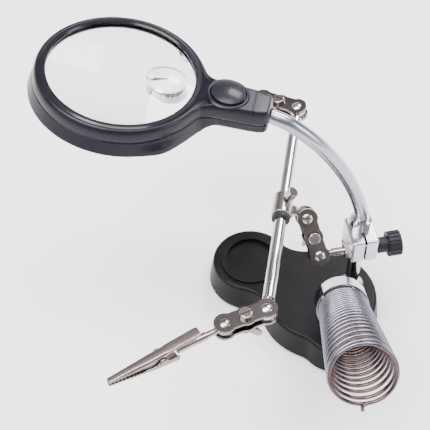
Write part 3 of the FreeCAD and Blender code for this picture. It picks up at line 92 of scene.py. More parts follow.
# ---------------------------------------------------------------- meshes from arrays
def put(name, verts, faces, body, finish, smooth=True):
    """Makes a piece from arrays of points and faces, and gives it a body and a finish."""
    mesh = bpy.data.meshes.new(name)
    mesh.from_pydata(verts.tolist(), [], faces)
    mesh.polygons.foreach_set("use_smooth", np.full(len(mesh.polygons), smooth))
    mesh.update()
    thing = bpy.data.objects.new(name, mesh)
    bpy.context.scene.collection.objects.link(thing)
    mesh.materials.append(finish)
    if body:
        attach(thing, body)
    return thing


def quads(rows, cols, wrap_rows=False, wrap_cols=True):
    """Faces of a grid of points, row by row, that may close on itself either way."""
    i = np.arange(rows if wrap_rows else rows - 1)[:, None]
    j = np.arange(cols if wrap_cols else cols - 1)[None, :]
    a = i * cols + j
    b = i * cols + (j + 1) % cols
    c = ((i + 1) % rows) * cols + (j + 1) % cols
    d = ((i + 1) % rows) * cols + j
    return np.stack([a, b, c, d], -1).reshape(-1, 4).tolist()


def turned_surface(profile, centre, x, z, steps=64):
    """A profile of (radius, height) points carried round z: point = centre + r(cos t, sin t) + h z."""
    rows = axes(x, z)
    profile = np.asarray(profile, float)
    t = np.arange(steps) * TAU / steps
    r, h = profile[:, :1], profile[:, 1:]
    local = np.stack([r * np.cos(t), r * np.sin(t), h + 0 * t], -1).reshape(-1, 3)
    return local @ rows + centre, quads(len(profile), steps)


def along_path(points, radius, turns=48):
    """A circle carried along a line of points; its frame turns as little as it can."""
    points = np.asarray(points, float)
    ahead = np.gradient(points, axis=0)
    ahead /= np.linalg.norm(ahead, axis=1)[:, None]
    side = np.zeros_like(points)
    side[0] = unit(np.cross(ahead[0], (0.3, 0.9, 0.1)))
    for n in range(1, len(points)):
        carried = side[n - 1] - ahead[n] * (side[n - 1] @ ahead[n])
        side[n] = carried / np.linalg.norm(carried)
    up = np.cross(ahead, side)
    t = np.arange(turns) * TAU / turns
    radius = np.broadcast_to(radius, len(points))[:, None, None]
    ring = side[:, None] * np.cos(t)[None, :, None] + up[:, None] * np.sin(t)[None, :, None]
    return (points[:, None] + ring * radius).reshape(-1, 3), quads(len(points), turns)


def spline(knots, count, first=None, last=None):
    """A smooth line through knots: cubic Hermite pieces with central differences as slopes."""
    knots = np.asarray(knots, float)
    slope = np.gradient(knots, axis=0)
    if first is not None:
        slope[0] = np.asarray(first) * np.linalg.norm(slope[0])
    if last is not None:
        slope[-1] = np.asarray(last) * np.linalg.norm(slope[-1])
    t = np.linspace(0, len(knots) - 1, count)
    i = np.minimum(t.astype(int), len(knots) - 2)
    u = (t - i)[:, None]
    a, b, c, d = knots[i], knots[i + 1], slope[i], slope[i + 1]
    return (
        (2 * u**3 - 3 * u**2 + 1) * a
        + (u**3 - 2 * u**2 + u) * c
        + (3 * u**2 - 2 * u**3) * b
        + (u**3 - u**2) * d
    )


# ---------------------------------------------------------------- finishes
class Finish:
    """A procedural finish: one Principled surface, and the nodes that vary it."""

    def __init__(self, name, color, roughness, metallic=0.0, **sockets):
        self.material = bpy.data.materials.new(name)
        self.material.use_nodes = True
        self.tree = self.material.node_tree
        self.surface = self.tree.nodes["Principled BSDF"]
        self.surface.inputs["Base Color"].default_value = (*color, 1.0)
        self.surface.inputs["Roughness"].default_value = roughness
        self.surface.inputs["Metallic"].default_value = metallic
        for socket, value in sockets.items():
            self.surface.inputs[socket.replace("_", " ")].default_value = value
        self.place = self.tree.nodes.new("ShaderNodeTexCoord").outputs["Object"]

    def node(self, kind, settings=(), **inputs):
        """Adds a node; each input is a number or another node's output."""
        made = self.tree.nodes.new("ShaderNode" + kind)
        for key, value in dict(settings).items():
            setattr(made, key, value)
        for key, value in inputs.items():
            self.feed(made.inputs[key.replace("_", " ")], value)
        return made

    def feed(self, socket, value):
        if isinstance(value, bpy.types.NodeSocket):
            self.tree.links.new(value, socket)
        else:
            socket.default_value = value

    def math(self, operation, *values):
        made = self.node("Math", {"operation": operation})
        for socket, value in zip(made.inputs, values):
            self.feed(socket, value)
        return made.outputs[0]

    def vector(self, operation, *values):
        made = self.node("VectorMath", {"operation": operation})
        for socket, value in zip(made.inputs, values):
            self.feed(socket, value)
        return made.outputs

    def offset(self, centre, axis):
        """The way from a centre to the surface, and how far that goes along an axis."""
        way_out = self.vector("SUBTRACT", self.place, tuple(centre))[0]
        return way_out, self.vector("DOT_PRODUCT", way_out, tuple(axis))["Value"]

    def noise(self, scale, detail=4.0, rough=0.55, place=None):
        made = self.node("TexNoise", Scale=scale, Detail=detail, Roughness=rough)
        self.tree.links.new(place or self.place, made.inputs["Vector"])
        return made.outputs["Fac"]

    def stretched(self, stretch, turn=(0, 0, 0)):
        """Object coordinates stretched along one way, for brushing and mould flow."""
        made = self.node("Mapping", Vector=self.place)
        made.inputs["Scale"].default_value = stretch
        made.inputs["Rotation"].default_value = turn
        return made.outputs["Vector"]

    def between(self, value, low, high, to_low, to_high):
        """Maps a value from one range to another, held at its ends."""
        made = self.node("MapRange", Value=value)
        for key, number in zip(("From Min", "From Max", "To Min", "To Max"), (low, high, to_low, to_high)):
            made.inputs[key].default_value = number
        return made.outputs["Result"]

    def mix(self, factor, one, other):
        made = self.node("Mix", {"data_type": "RGBA"})
        self.feed(made.inputs[0], factor)
        for socket, value in zip((made.inputs[6], made.inputs[7]), (one, other)):
            self.feed(socket, (*value, 1.0) if isinstance(value, tuple) and len(value) == 3 else value)
        return made.outputs[2]

    def paint(self, color):
        self.feed(self.surface.inputs["Base Color"], color)

    def shine(self, roughness):
        self.feed(self.surface.inputs["Roughness"], roughness)

    def relief(self, height, strength, distance, over=None):
        """Raises the surface by height; a second relief lies over the first."""
        made = self.node("Bump", Height=height, Strength=strength, Distance=distance)
        if over is not None:
            self.tree.links.new(over, made.inputs["Normal"])
        self.tree.links.new(made.outputs[0], self.surface.inputs["Normal"])
        return made.outputs[0]


def enamel(name, color, light, roughness, grain):
    """Stoved enamel on a casting: a fine orange peel, dust in the low spots and duller patches."""
    made = Finish(name, color, roughness, Specular_IOR_Level=0.11)
    peel = made.noise(grain, 3.0)
    patches = made.noise(38.0, 5.0, 0.6)
    made.paint(made.mix(made.between(patches, 0.35, 0.75, 0.0, 1.0), color, light))
    made.shine(made.between(patches, 0.3, 0.7, roughness - 0.05, roughness + 0.07))
    made.relief(peel, 0.35, 0.00012)
    return made.material


def metal(name, color, dull, roughness, scratch=0.00002, stretch=(1, 1, 1)):
    """Plated metal: fine drawn scratches, soft smears in the shine, and grime where it is handled."""
    made = Finish(name, color, roughness, 1.0)
    smears = made.noise(70.0, 5.0, 0.6)
    lines = made.noise(2600.0, 2.0, 0.5, made.stretched(stretch))
    made.paint(made.mix(made.between(smears, 0.42, 0.8, 0.0, 0.8), color, dull))
    made.shine(made.between(smears, 0.3, 0.75, roughness * 0.7, roughness * 1.5))
    made.relief(lines, 0.15, scratch)
    return made.material


def moulded(name, color, light, roughness, grain=1500.0, depth=0.00004, coat=0.0, seam=None):
    """Moulded plastic: faint flow marks in the colour, a fine grain, and finger marks in the shine.

    A seam is a narrow groove across the part, at a distance along an axis from a centre; the groove is painted
    darker, as painted shade in the gap between the parts.
    """
    made = Finish(name, color, roughness, Coat_Weight=coat, Coat_Roughness=0.12, Specular_IOR_Level=0.2)
    flow = made.noise(26.0, 4.0, 0.5, made.stretched((1.0, 2.4, 1.0)))
    marks = made.noise(90.0, 4.0, 0.65)
    shade = made.mix(made.between(flow, 0.35, 0.7, 0.0, 1.0), color, light)
    made.shine(made.between(marks, 0.35, 0.75, roughness - 0.04, roughness + 0.08))
    grained = made.relief(made.noise(grain, 2.0), 0.3, depth)
    if seam:
        centre, axis, distance = seam
        along = made.offset(centre, axis)[1]
        gap = made.math("ABSOLUTE", made.math("SUBTRACT", along, distance))
        clear = made.between(gap, 0.00015, 0.00045, 0.0, 1.0)
        # painted shade: the seam's groove is painted at a fifth of the plastic's colour
        shade = made.mix(clear, tuple(0.2 * c for c in color), shade)
        made.relief(clear, 0.8, 0.0003, grained)
    made.paint(shade)
    return made.material


def glass(name, color, roughness):
    """Clear optical acrylic with faint wiping marks in its polish."""
    made = Finish(name, color, roughness, Transmission_Weight=1.0, IOR=1.49)
    wiped = made.noise(60.0, 5.0, 0.7, made.stretched((1.0, 5.0, 1.0), (0, 0, 0.6)))
    made.shine(made.between(wiped, 0.45, 0.8, roughness, roughness + 0.03))
    made.relief(made.noise(45.0, 1.0), 0.04, 0.00002)
    return made.material


def ribbed_metal(name, color, dull, roughness, pitch):
    """A flexible tube's wound strip: a groove each pitch along it, from the piece's own measure, with each groove
    painted darker as painted shade.
    """
    made = Finish(name, color, roughness, 1.0)
    along = made.node("Attribute", {"attribute_name": "along"}).outputs["Fac"]
    phase = made.math("MULTIPLY", along, TAU / pitch)
    wave = made.math("SINE", phase)
    groove = made.between(wave, 0.45, 1.0, 1.0, 0.0)
    smears = made.noise(70.0, 5.0, 0.6)
    # painted shade: the grooves are painted in 0.72 of the dull colour, darker than the strip
    made.paint(made.mix(groove, tuple(0.72 * c for c in dull), color))
    made.shine(made.between(smears, 0.3, 0.75, roughness * 0.8, roughness * 1.5))
    made.relief(groove, 0.25, 0.00008)
    return made.material


def wire_with_painted_inside_shade(name, color, inside_shade_dark, inside_shade_light, centre, axis):
    """Plated spring wire, painted a darker brown where it faces the coil's inside: painted shade inside the coil.
    """
    made = Finish(name, color, 0.2, 1.0)
    normal = made.node("NewGeometry").outputs["Normal"]
    way_out, along = made.offset(centre, axis)
    on_axis = made.node("VectorMath", {"operation": "SCALE"}, Scale=along)
    on_axis.inputs[0].default_value = tuple(axis)
    radial = made.vector("SUBTRACT", way_out, on_axis.outputs[0])[0]
    radial = made.vector("NORMALIZE", radial)[0]
    facing = made.vector("DOT_PRODUCT", radial, normal)["Value"]
    # painted shade: the side facing the coil's inside is painted in blotched dark browns
    inside = made.between(facing, -0.7, 0.35, 1.0, 0.0)
    blotch = made.noise(120.0, 4.0, 0.6)
    painted_inside_shade = made.mix(blotch, inside_shade_dark, inside_shade_light)
    made.paint(made.mix(inside, color, painted_inside_shade))
    made.shine(made.between(blotch, 0.3, 0.75, 0.14, 0.34))
    made.relief(made.noise(1800.0, 2.0), 0.12, 0.00002)
    return made.material


def board_finish(name):
    """A circuit board's green resist with faint tracks under it."""
    green, dark, track = (0.02, 0.16, 0.06), (0.015, 0.12, 0.05), (0.05, 0.3, 0.12)
    made = Finish(name, green, 0.35)
    tracks = made.node("TexBrick", Scale=420.0)
    made.tree.links.new(made.place, tracks.inputs["Vector"])
    for key, color in {"Color1": green, "Color2": dark, "Mortar": track}.items():
        tracks.inputs[key].default_value = (*color, 1)
    made.paint(tracks.outputs["Color"])
    made.relief(tracks.outputs["Fac"], 0.2, 0.00003)
    return made.material


rest_axis = unit(middle("rest_coil") - middle("rest_cup"))
seam_to_lens = 56.5 * MM
# the grip's seam: a groove whose dark colour is painted shade
grip_seam = (middle("main_lens"), unit(middle("switch_button") - middle("main_lens")), seam_to_lens)
FINISH = {
    "black_casting": enamel("black enamel", (0.004, 0.004, 0.005), (0.009, 0.008, 0.009), 0.36, 1500.0),
    "black_door": moulded("door plastic", (0.02, 0.02, 0.022), (0.03, 0.03, 0.032), 0.5, 1800.0),
    "cell_can": metal("cell can", (0.6, 0.6, 0.62), (0.4, 0.4, 0.4), 0.3),
    "contact_metal": metal("contact strip", (0.72, 0.7, 0.66), (0.5, 0.45, 0.4), 0.3),
    "rubber": moulded("foot rubber", (0.022, 0.022, 0.022), (0.04, 0.04, 0.04), 0.75, 2200.0, 0.00008),
    "chrome": metal("bright chrome", (0.62, 0.6, 0.62), (0.33, 0.31, 0.32), 0.1),
    "zinc_casting": metal("plated zinc", (0.6, 0.6, 0.63), (0.34, 0.33, 0.34), 0.2, 0.00004),
    "knob_plastic": moulded("knob plastic", (0.009, 0.009, 0.012), (0.018, 0.018, 0.022), 0.42),
    "nickel": metal("bright nickel", (0.42, 0.38, 0.36), (0.13, 0.1, 0.09), 0.16),
    "clip_steel": metal("clip steel", (0.3, 0.25, 0.235), (0.1, 0.075, 0.07), 0.2, 0.00003, (1, 0.1, 1)),
    "ring_plastic": moulded("ring plastic", (0.02, 0.02, 0.022), (0.03, 0.03, 0.033), 0.45),
    "shell_plastic": moulded(
        "shell plastic", (0.004, 0.004, 0.007), (0.008, 0.007, 0.013), 0.3, 1400.0, 0.00003, 0.1, grip_seam
    ),
    "bezel_plastic": moulded(
        "bezel plastic", (0.006, 0.006, 0.009), (0.01, 0.01, 0.014), 0.18, 1400.0, 0.00001, 0.3
    ),
    "lens_glass": glass("lens", (0.97, 0.985, 0.99), 0.0),
    "lamp_lens": glass("lamp", (0.98, 0.97, 0.9), 0.02),
    "board": board_finish("circuit board"),
    "switch_body": moulded("switch body", (0.03, 0.03, 0.03), (0.05, 0.05, 0.05), 0.5),
    "button_plastic": moulded(
        "button plastic", (0.007, 0.007, 0.01), (0.012, 0.012, 0.017), 0.34, 1600.0, 0.00003, 0.15
    ),
    "coil_wire": wire_with_painted_inside_shade(
        # the wire's colour, then the dark and light browns of the painted shade inside the coil
        "coil wire", (0.17, 0.158, 0.195), (0.06, 0.033, 0.022), (0.16, 0.1, 0.08),
        middle("rest_cup"), rest_axis,
    ),
}
strip_pitch = 0.9 * MM
# the second colour, scaled down, is the painted shade in the tube's grooves
neck_finish = ribbed_metal("neck tube", (0.43, 0.43, 0.48), (0.28, 0.28, 0.33), 0.17, strip_pitch)
nut_finish = metal("wing nut", (0.3, 0.235, 0.2), (0.12, 0.085, 0.07), 0.22)
plate_finish = metal("link plate", (0.22, 0.19, 0.18), (0.07, 0.055, 0.05), 0.17, 0.00003, (1, 0.1, 1))

slots = {part["node"]: part["material_slot"] for part in frame["record"]["subparts"]}
for name, thing in nodes.items():
    thing.data.materials.clear()
    thing.data.materials.append(plate_finish if name.endswith("_plates") else FINISH[slots[name]])


# ---------------------------------------------------------------- flexible neck
def make_neck():
    """One smooth tube through the neck's joints, in a piece for each joint."""
    names = [j["name"] for j in frame["joints"] if j["name"].startswith("neck_")]
    radius = 3.2 * MM
    sunk = 0.5 * MM
    reach_into_grip = 9.3 * MM
    around = 40
    per = 48
    collar_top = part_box("neck_collar")[1][2]
    root = np.array([0.0, 0.0, collar_top - sunk])
    stations = [spot(name) for name in names]
    tip = stations[-1] + unit(middle("grip_end_cap") - stations[-1]) * reach_into_grip
    knots = [root, *stations, tip]
    points = spline(knots, per * (len(knots) - 1) + 1, first=(-0.05, 0, 1))
    step = np.linalg.norm(np.diff(points, axis=0), axis=1)
    along = np.concatenate([[0], np.cumsum(step)])
    cuts = [0] + [int(per * (n + 0.5)) for n in range(1, len(names))] + [len(points) - 1]
    for n, name in enumerate(names):
        part = slice(cuts[n], cuts[n + 1] + 1)
        line = points[part]
        verts, faces = along_path(line, radius, around)
        piece = put(f"neck_tube_{n + 1}", verts, faces, None, neck_finish)
        measure = piece.data.attributes.new("along", "FLOAT", "POINT")
        measure.data.foreach_set("value", np.repeat(along[part], around).astype(np.float32))
        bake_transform(piece)
        if n == 0:
            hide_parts("neck_stub")
        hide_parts(f"neck_segment_{n + 1}" if n < 5 else "neck_ferrule")


make_neck()


# ---------------------------------------------------------------- lens head
lens_centre = middle("main_lens")
head_up = -way("button_press")
head_rows = axes(middle("switch_button") - lens_centre, head_up)

# millimetres, with the lens's centre as origin, x towards the grip and z up
RING_RADIUS = 36.2
GRIP_HALF_WIDTH = 8.5
GRIP_END = 63.9
RING_TO_GRIP_BLEND = 6.0
GRIP_RISE = (35.5, 44.0)
SHOULDER = 1.9
BEZEL_BORE = 33.8
RIM_TOP = 2.5
SEAM = -3.0
SEAM_GAP = 0.05
SEAM_STEP = 0.3
SHELL_LAP = 1.6
SKIRT_DEPTH = 5.8
SKIRT_BOTTOM = -9.0
SKIRT_FLARE = 1.8
GRIP_TUCK = 2.2
LAMP_ANGLE = math.radians(50)
LAMP_SPREAD = 0.17
LAMP_BULGE = 1.0
# the lower shell's inside, from its bottom up to the lens's seat: (radius, height)
INNER_STEPS = ((36.0, -8.7), (34.4, -5.1), (34.2, -3.3), (33.9, -3.1), (31.0, -3.1), (31.0, -1.8))


def head_outline(ring, width, length, flare, count=480):
    """The head seen from above: a ring joined to a grip.

    In polar form the grip is a rounded bar, (|cos a / L|^8 + |sin a / W|^8)^(-1/8), and the two are
    joined by k ln(e^(R/k) + e^(r/k)), which leaves a soft fillet. Points are even along the line.
    """
    a = np.linspace(-math.pi, math.pi, 8001)[:-1]
    bar = ((np.maximum(np.cos(a), 1e-6) / length) ** 8 + (np.abs(np.sin(a)) / width) ** 8) ** -0.125
    bar = np.where(np.cos(a) > 0, bar, 0)
    r = ring + flare * np.log1p(np.exp((bar - ring) / flare))
    x, y = r * np.cos(a), r * np.sin(a)
    step = np.hypot(np.diff(x, append=x[0]), np.diff(y, append=y[0]))
    run = np.concatenate([[0], np.cumsum(step)])
    even = np.linspace(0, run[-1], count, endpoint=False)
    x, y = np.interp(even, run, np.append(x, x[0])), np.interp(even, run, np.append(y, y[0]))
    dx, dy = np.roll(x, -1) - np.roll(x, 1), np.roll(y, -1) - np.roll(y, 1)
    size = np.hypot(dx, dy)
    return np.stack([x, y], -1), np.stack([dy / size, -dx / size], -1)


def soft_step(x, low, high):
    """Nought below low, one above high, and 3u^2 - 2u^3 between."""
    u = np.clip((x - low) / (high - low), 0, 1)
    return u * u * (3 - 2 * u)


def head_place(rings):
    """Rings of head coordinates in millimetres, as points in the frame."""
    return np.concatenate(rings) * MM @ head_rows + lens_centre


def make_head_shells():
    """Upper and lower shells as rings of points that follow the head's outline inwards or outwards."""
    line, out = head_outline(RING_RADIUS, GRIP_HALF_WIDTH, GRIP_END, RING_TO_GRIP_BLEND)
    count = len(line)
    turn = np.arctan2(line[:, 1], line[:, 0])
    grip = soft_step(line[:, 0], *GRIP_RISE)
    flat = np.stack([np.cos(turn), np.sin(turn)], -1)

    def ring(points, height):
        return np.column_stack([points, np.broadcast_to(height, count)])

    top = RIM_TOP + grip
    shoulder = line - out * SHOULDER
    bore, rim = flat * BEZEL_BORE, flat * (BEZEL_BORE + 0.15)
    rings = [ring(bore, RIM_TOP - 1.3), ring(bore, RIM_TOP - 0.2), ring(rim, RIM_TOP)]
    for share in (0.3, 0.6, 0.85):
        spread = rim * (1 - share) + shoulder * share
        rings.append(ring(spread, RIM_TOP + soft_step(spread[:, 0], *GRIP_RISE)))
    for angle in np.linspace(0, math.pi / 2, 12):
        inward = SHOULDER * (1 - math.sin(angle))
        drop = (top - SEAM - 0.1) * (1 - math.cos(angle))
        rings.append(ring(line - out * inward, top - drop))
    rings.append(ring(line - out * SEAM_STEP, SEAM))
    rings.append(ring(line - out * SHELL_LAP, SEAM))
    upper = put(
        "head_upper", head_place(rings), quads(len(rings), count), "head",
        FINISH["shell_plastic"],
    )
    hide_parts("head_upper_shell", "grip_end_cap")

    lamp = sum(np.exp(-(((turn - side) / LAMP_SPREAD) ** 2)) for side in (LAMP_ANGLE, -LAMP_ANGLE))
    under_seam = SEAM - SEAM_GAP
    rings = [ring(line - out * SHELL_LAP, under_seam), ring(line - out * SEAM_STEP, under_seam)]
    for u in np.linspace(0.02, 1, 16):
        edge = max(0.0, (u - 0.55) / 0.45)
        tuck = GRIP_TUCK * (1 - math.sqrt(max(0.0, 1 - edge * edge)))
        flare = SKIRT_FLARE * u + LAMP_BULGE * lamp * soft_step(np.array(u), 0.15, 0.75)
        shift = (1 - grip) * flare - grip * tuck
        rings.append(ring(line + out * shift[:, None], under_seam - (SKIRT_DEPTH - 0.9 * grip) * u))
    foot = rings[-1][:, :2] - out * 0.35
    low = SKIRT_BOTTOM + grip
    rings.append(ring(foot, low))
    for share in (0.4, 0.8, 1.0):
        rings.append(ring(foot * (1 - share) + flat * RING_RADIUS * share, low))
    for radius, height in INNER_STEPS:
        rings.append(ring(flat * radius, height))
    lower = put(
        "head_lower", head_place(rings), quads(len(rings), count), "head",
        FINISH["shell_plastic"],
    )
    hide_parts("head_lower_shell")


def make_button_collar():
    """A low moulded ring round the push button."""
    centre = middle("switch_button") - lens_centre
    centre = lens_centre + head_rows[0] * (centre @ head_rows[0])
    # (radius, height) in millimetres, from the bore over the crown to the shell
    profile = [(7.55, 3.2), (7.55, 3.8), (7.8, 4.05), (8.3, 4.05), (8.8, 3.8), (9.2, 3.4), (9.3, 3.2)]
    verts, faces = turned_surface(np.array(profile) * MM, centre, head_rows[0], head_rows[2], 72)
    put("button_collar", verts, faces, "head", FINISH["shell_plastic"])


make_head_shells()
make_button_collar()


# ---------------------------------------------------------------- clips and wing nuts
def bump(x, middle_x, reach):
    """One at the middle and nought past the reach: (1 - (d / reach)^2)^2."""
    return np.clip(1 - ((x - middle_x) / reach) ** 2, 0, 1) ** 2


def channel(x, half, back, edge, sheet):
    """A bent-up strip along x: its back at height back(x), and two walls that end at edge(x).

    Each section runs round the outside from edge to edge with rounded corners, then back inside.
    """
    lean = np.sign(back - edge)
    corner = np.minimum(1.1, np.abs(back - edge) * 0.5)
    quarter = np.linspace(0, math.pi / 2, 6)
    ways = []
    for inset in (0.0, sheet):
        w, b = half - inset, back - lean * inset
        round_ = np.maximum(corner - inset, 0.25)
        side = [(w, edge)]
        side += [(w - round_ * (1 - math.cos(a)), b - lean * round_ * (1 - math.sin(a))) for a in quarter]
        whole = side + [(-y, z) for y, z in reversed(side)]
        ways.append(whole if inset == 0 else whole[::-1])
    loop = ways[0] + ways[1]
    points = np.stack([np.stack([x, y, z], -1) for y, z in loop], 1)
    count = len(loop)
    faces = quads(len(x), count)
    for first in (0, (len(x) - 1) * count):
        for n in range(count // 2 - 1):
            faces.append([first + n, first + n + 1, first + count - 2 - n, first + count - 1 - n])
    return points.reshape(-1, 3), faces


def clip_frame(end):
    """A clip's own axes, with x towards its tip, and its ball's centre."""
    up = -way(f"{end}_clip_swing")
    across = -way(f"{end}_jaw_open")
    return np.array([unit(np.cross(across, up)), across, up]), spot(f"{end}_clip_swing")


def outward(thing):
    """Turns a closed piece's faces outwards."""
    work = bmesh.new()
    work.from_mesh(thing.data)
    bmesh.ops.recalc_face_normals(work, faces=work.faces)
    work.to_mesh(thing.data)
    work.free()


def crease(thing):
    """Breaks the sheet's sharp edges with a narrow bevel."""
    edge = thing.modifiers.new("bevel", "BEVEL")
    edge.width, edge.segments, edge.limit_method = 0.12 * MM, 2, "ANGLE"
    edge.angle_limit = math.radians(35)


# millimetres; places are along a clip from its ball's centre
PIN = 31.0
TEETH_FROM = 38.7
TIP = 54.8
TOOTH_PITCH = 1.6
TOOTH_DEPTH = 0.75
TIP_HALF_WIDTH = 1.35
BITE = 0.2


def toothed(x):
    """The depth of the teeth: a triangle wave past the place where they start."""
    wave = np.abs(((x - TEETH_FROM) / TOOTH_PITCH) % 1 - 0.5) * 2
    return np.where(x > TEETH_FROM, TOOTH_DEPTH * wave, 0.0)


def jaw_places(start, count):
    """Places along a jaw: even up to the teeth, and eight to a tooth from there."""
    fine = np.arange(TEETH_FROM, TIP + 0.15, TOOTH_PITCH / 8)
    return np.concatenate([np.linspace(start, TEETH_FROM - 0.2, count), fine])


def put_jaw(end, name, body, replaced, sections, sheet):
    """A jaw bent from sheet, in place of the CAD one; sections are a channel's x, half, back, edge."""
    rows, ball = clip_frame(end)
    verts, faces = channel(*sections, sheet)
    place = verts * MM @ rows + ball
    jaw = put(f"{end}_{name}", place, faces, body, FINISH["clip_steel"])
    outward(jaw)
    crease(jaw)
    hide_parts(replaced)


def make_clip(end):
    """Two toothed channels: the lower keeps its ears at the pin, the upper runs back as a handle."""
    x = jaw_places(23.2, 40)
    half = np.interp(x, [23, 34, TIP], [3.2, 3.2, TIP_HALF_WIDTH])
    back = np.interp(x, [23, TIP], [-3.8, -1.5])
    edge = -BITE - toothed(x) + 2.8 * bump(x, PIN, 3.6)
    lower = (x, half, back, edge)
    put_jaw(end, "lower_jaw", f"{end}_clip", f"{end}_clip_fixed_jaw", lower, 0.7)

    x = jaw_places(12.5, 60)
    half = np.interp(x, [12.5, 14, 27, 36, TIP], [2.0, 2.35, 2.35, 2.35, TIP_HALF_WIDTH])
    back = np.interp(x, [12.5, 22, 28, 34, TIP], [6.9, 5.6, 4.6, 3.8, 1.5])
    handle = np.clip(back - 1.1, BITE, None)
    share = soft_step(x, 29.0, 34.0)
    edge = handle * (1 - share) + (BITE + toothed(x)) * share - 4.6 * bump(x, PIN, 3.4)
    upper = (x, half, back, edge)
    put_jaw(end, "upper_jaw", f"{end}_clip_jaw", f"{end}_clip_moving_jaw", upper, 0.6)


def egg(radii, power, rows=20, cols=28):
    """A rounded box: each axis is the power of a sine or cosine, poles closed to a point."""
    a = np.linspace(-math.pi / 2, math.pi / 2, rows)[:, None]
    b = np.arange(cols)[None, :] * TAU / cols

    def p(v):
        return np.sign(v) * np.abs(v) ** power

    x = radii[0] * p(np.cos(a)) * p(np.cos(b))
    y = radii[1] * p(np.cos(a)) * p(np.sin(b))
    z = radii[2] * p(np.sin(a)) * np.ones_like(b)
    return np.stack([x, y, z], -1).reshape(-1, 3), quads(rows, cols)


def make_wing_nut(link, near, far, turn):
    """A turned hub with two rounded wings that splay down and out; the nut stands 50 degrees round."""
    hub = [(1.6, -3.6), (2.9, -3.6), (3.05, -3.75), (3.05, -4.3), (2.75, -6.6), (2.4, -7.3), (1.6, -7.3)]
    steps = 40
    splay = 0.45
    wing_radii = (0.85, 3.2, 2.6)
    wing_out, wing_down = 4.4, 7.0
    rows = axes(spot(far) - spot(near), -way(turn))
    t = np.arange(steps) * TAU / steps
    r, h = np.hsplit(np.array(hub), 2)
    verts = [np.stack([r * np.cos(t), r * np.sin(t), h + 0 * t], -1).reshape(-1, 3)]
    faces = quads(len(hub), steps, wrap_rows=True)
    for side in (1, -1):
        wing, wing_faces = egg(wing_radii, 0.8)
        x, y, z = wing.T
        lean = side * splay
        leaned_y = y * math.cos(lean) - z * math.sin(lean)
        leaned_z = y * math.sin(lean) + z * math.cos(lean)
        start = sum(len(v) for v in verts)
        verts.append(np.column_stack([x, leaned_y + side * wing_out, -leaned_z - wing_down]))
        faces += [[n + start for n in face] for face in wing_faces]
    turned = math.radians(50)
    cos, sin = math.cos(turned), math.sin(turned)
    rows = np.array([rows[0] * cos + rows[1] * sin, rows[1] * cos - rows[0] * sin, rows[2]])
    place = np.concatenate(verts) * MM @ rows + spot(turn)
    piece = put(f"{link}_wings", place, faces, f"{link}_wing_nut", nut_finish)
    outward(piece)
    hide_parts(f"{link}_wing_nut")


make_clip("front")
make_clip("rear")
make_wing_nut("block_link", "block_link_swing", "sleeve_swing", "block_wing_nut_turn")
make_wing_nut("front_link", "front_link_swing", "front_clip_swing", "front_wing_nut_turn")
make_wing_nut("rear_link", "rear_link_swing", "rear_clip_swing", "rear_wing_nut_turn")


# ---------------------------------------------------------------- coil rest
def make_coil_end():
    """The wire's end, turned down past the mouth's last turn."""
    wire = 0.9 * MM
    coil = nodes["rest_coil"].data
    points = np.zeros(3 * len(coil.vertices))
    coil.vertices.foreach_get("co", points)
    points = points.reshape(-1, 3)
    front = (points @ rest_axis).max()
    turn = points[points @ rest_axis > front - 2 * wire]
    mouth = (turn.min(axis=0) + turn.max(axis=0)) / 2
    down = unit(np.cross(np.cross(rest_axis, (0, 0, -1)), rest_axis))
    across = np.cross(rest_axis, down)
    reach = ((turn - mouth) @ down).max() - wire
    knots = [
        mouth + down * (reach - 0.6 * MM) + across * 4.0 * MM,
        mouth + down * reach + across * 1.4 * MM,
        mouth + down * (reach + 1.3 * MM),
        mouth + down * (reach + 3.4 * MM),
    ]
    steps = 25
    radii = np.full(steps, wire)
    radii[-1] = 0.6 * MM
    verts, faces = along_path(spline(knots, steps), radii, 20)
    put("coil_end", verts, faces, "base", FINISH["coil_wire"])


make_coil_end()


# ---------------------------------------------------------------- floor, light and camera
def make_floor():
    """A flat pale sheet that rises far round the object in one soft sweep."""
    half, flat_to, rise_over, height, count = 4.0, 1.6, 2.4, 1.5, 61
    u = np.linspace(-half, half, count)
    x, y = np.meshgrid(u, u, indexing="ij")
    rise = np.clip((np.hypot(x, y) - flat_to) / rise_over, 0, 1) ** 2 * height
    verts = np.stack([x, y, rise], -1).reshape(-1, 3)
    mesh = bpy.data.meshes.new("floor")
    mesh.from_pydata(verts.tolist(), [], quads(count, count, wrap_cols=False))
    mesh.flip_normals()
    floor = bpy.data.objects.new("floor", mesh)
    bpy.context.scene.collection.objects.link(floor)
    made = Finish("floor paper", (0.93, 0.93, 0.94), 0.7)
    fibres = made.noise(900.0, 3.0)
    made.paint(made.mix(made.noise(3.0, 2.0), (0.935, 0.935, 0.95), (0.955, 0.955, 0.965)))
    made.relief(fibres, 0.08, 0.00005)
    mesh.materials.append(made.material)


def pose(place, back):
    """A lamp's or a camera's pose: at a place, with its back turned one way."""
    made = np.eye(4)
    made[:3, :3], made[:3, 3] = axes((1, 0, 0), back).T, place
    return Matrix(made.tolist())


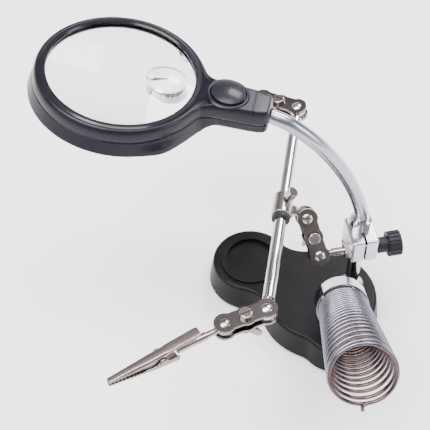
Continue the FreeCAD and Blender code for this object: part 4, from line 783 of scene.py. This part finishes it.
def softbox(name, place, target, size, power, color=(1, 1, 1)):
    """A rectangular lamp, its sides in metres and its power in watts, that faces a target."""
    lamp = bpy.data.lights.new(name, "AREA")
    lamp.shape = "RECTANGLE"
    lamp.size, lamp.size_y = size
    lamp.energy = power
    lamp.color = color
    holder = bpy.data.objects.new(name, lamp)
    holder.matrix_world = pose(place, np.subtract(place, target))
    bpy.context.scene.collection.objects.link(holder)


def make_world():
    """Soft surroundings, brightest above and dark below the horizon."""
    world = bpy.data.worlds.new("studio")
    bpy.context.scene.world = world
    world.use_nodes = True
    tree = world.node_tree
    back = tree.nodes["Background"]
    place = tree.nodes.new("ShaderNodeTexCoord")
    split = tree.nodes.new("ShaderNodeSeparateXYZ")
    ramp = tree.nodes.new("ShaderNodeValToRGB")
    tree.links.new(place.outputs["Generated"], split.inputs[0])
    tree.links.new(split.outputs["Z"], ramp.inputs["Fac"])
    tree.links.new(ramp.outputs["Color"], back.inputs["Color"])
    stops = ramp.color_ramp.elements
    stops[0].position, stops[0].color = 0.0, (0.05, 0.05, 0.055, 1)
    stops[1].position, stops[1].color = 0.95, (0.6, 0.6, 0.61, 1)
    for position, level in ((0.2, 0.1), (0.5, 0.3)):
        stop = stops.new(position)
        stop.color = (level, level, level * 1.02, 1)
    back.inputs["Strength"].default_value = 1.35


make_floor()
make_world()
softbox("key", (-0.65, -0.35, 1.2), (-0.05, 0, 0.06), (1.0, 0.9), 34.0)
softbox("top", (0.05, -0.1, 1.7), (0.0, 0, 0.05), (1.3, 0.9), 34.0)
softbox("back", (0.5, 0.8, 1.05), (0.0, 0, 0.05), (0.6, 0.5), 20.0, (0.95, 0.95, 1.0))
softbox("side", (1.1, -0.3, 0.6), (0, 0, 0.05), (0.5, 0.7), 8.0, (0.95, 0.96, 1.0))

eye = (-0.068, -0.336, 0.483)
looking = np.array((0, 0.632, -0.775))
lens = bpy.data.cameras.new("camera")
lens.lens, lens.sensor_width = 96.0, 36.0
lens.clip_start, lens.clip_end = 0.01, 20
camera = bpy.data.objects.new("camera", lens)
camera.matrix_world = pose(eye, -looking)
bpy.context.scene.collection.objects.link(camera)
bpy.context.scene.camera = camera
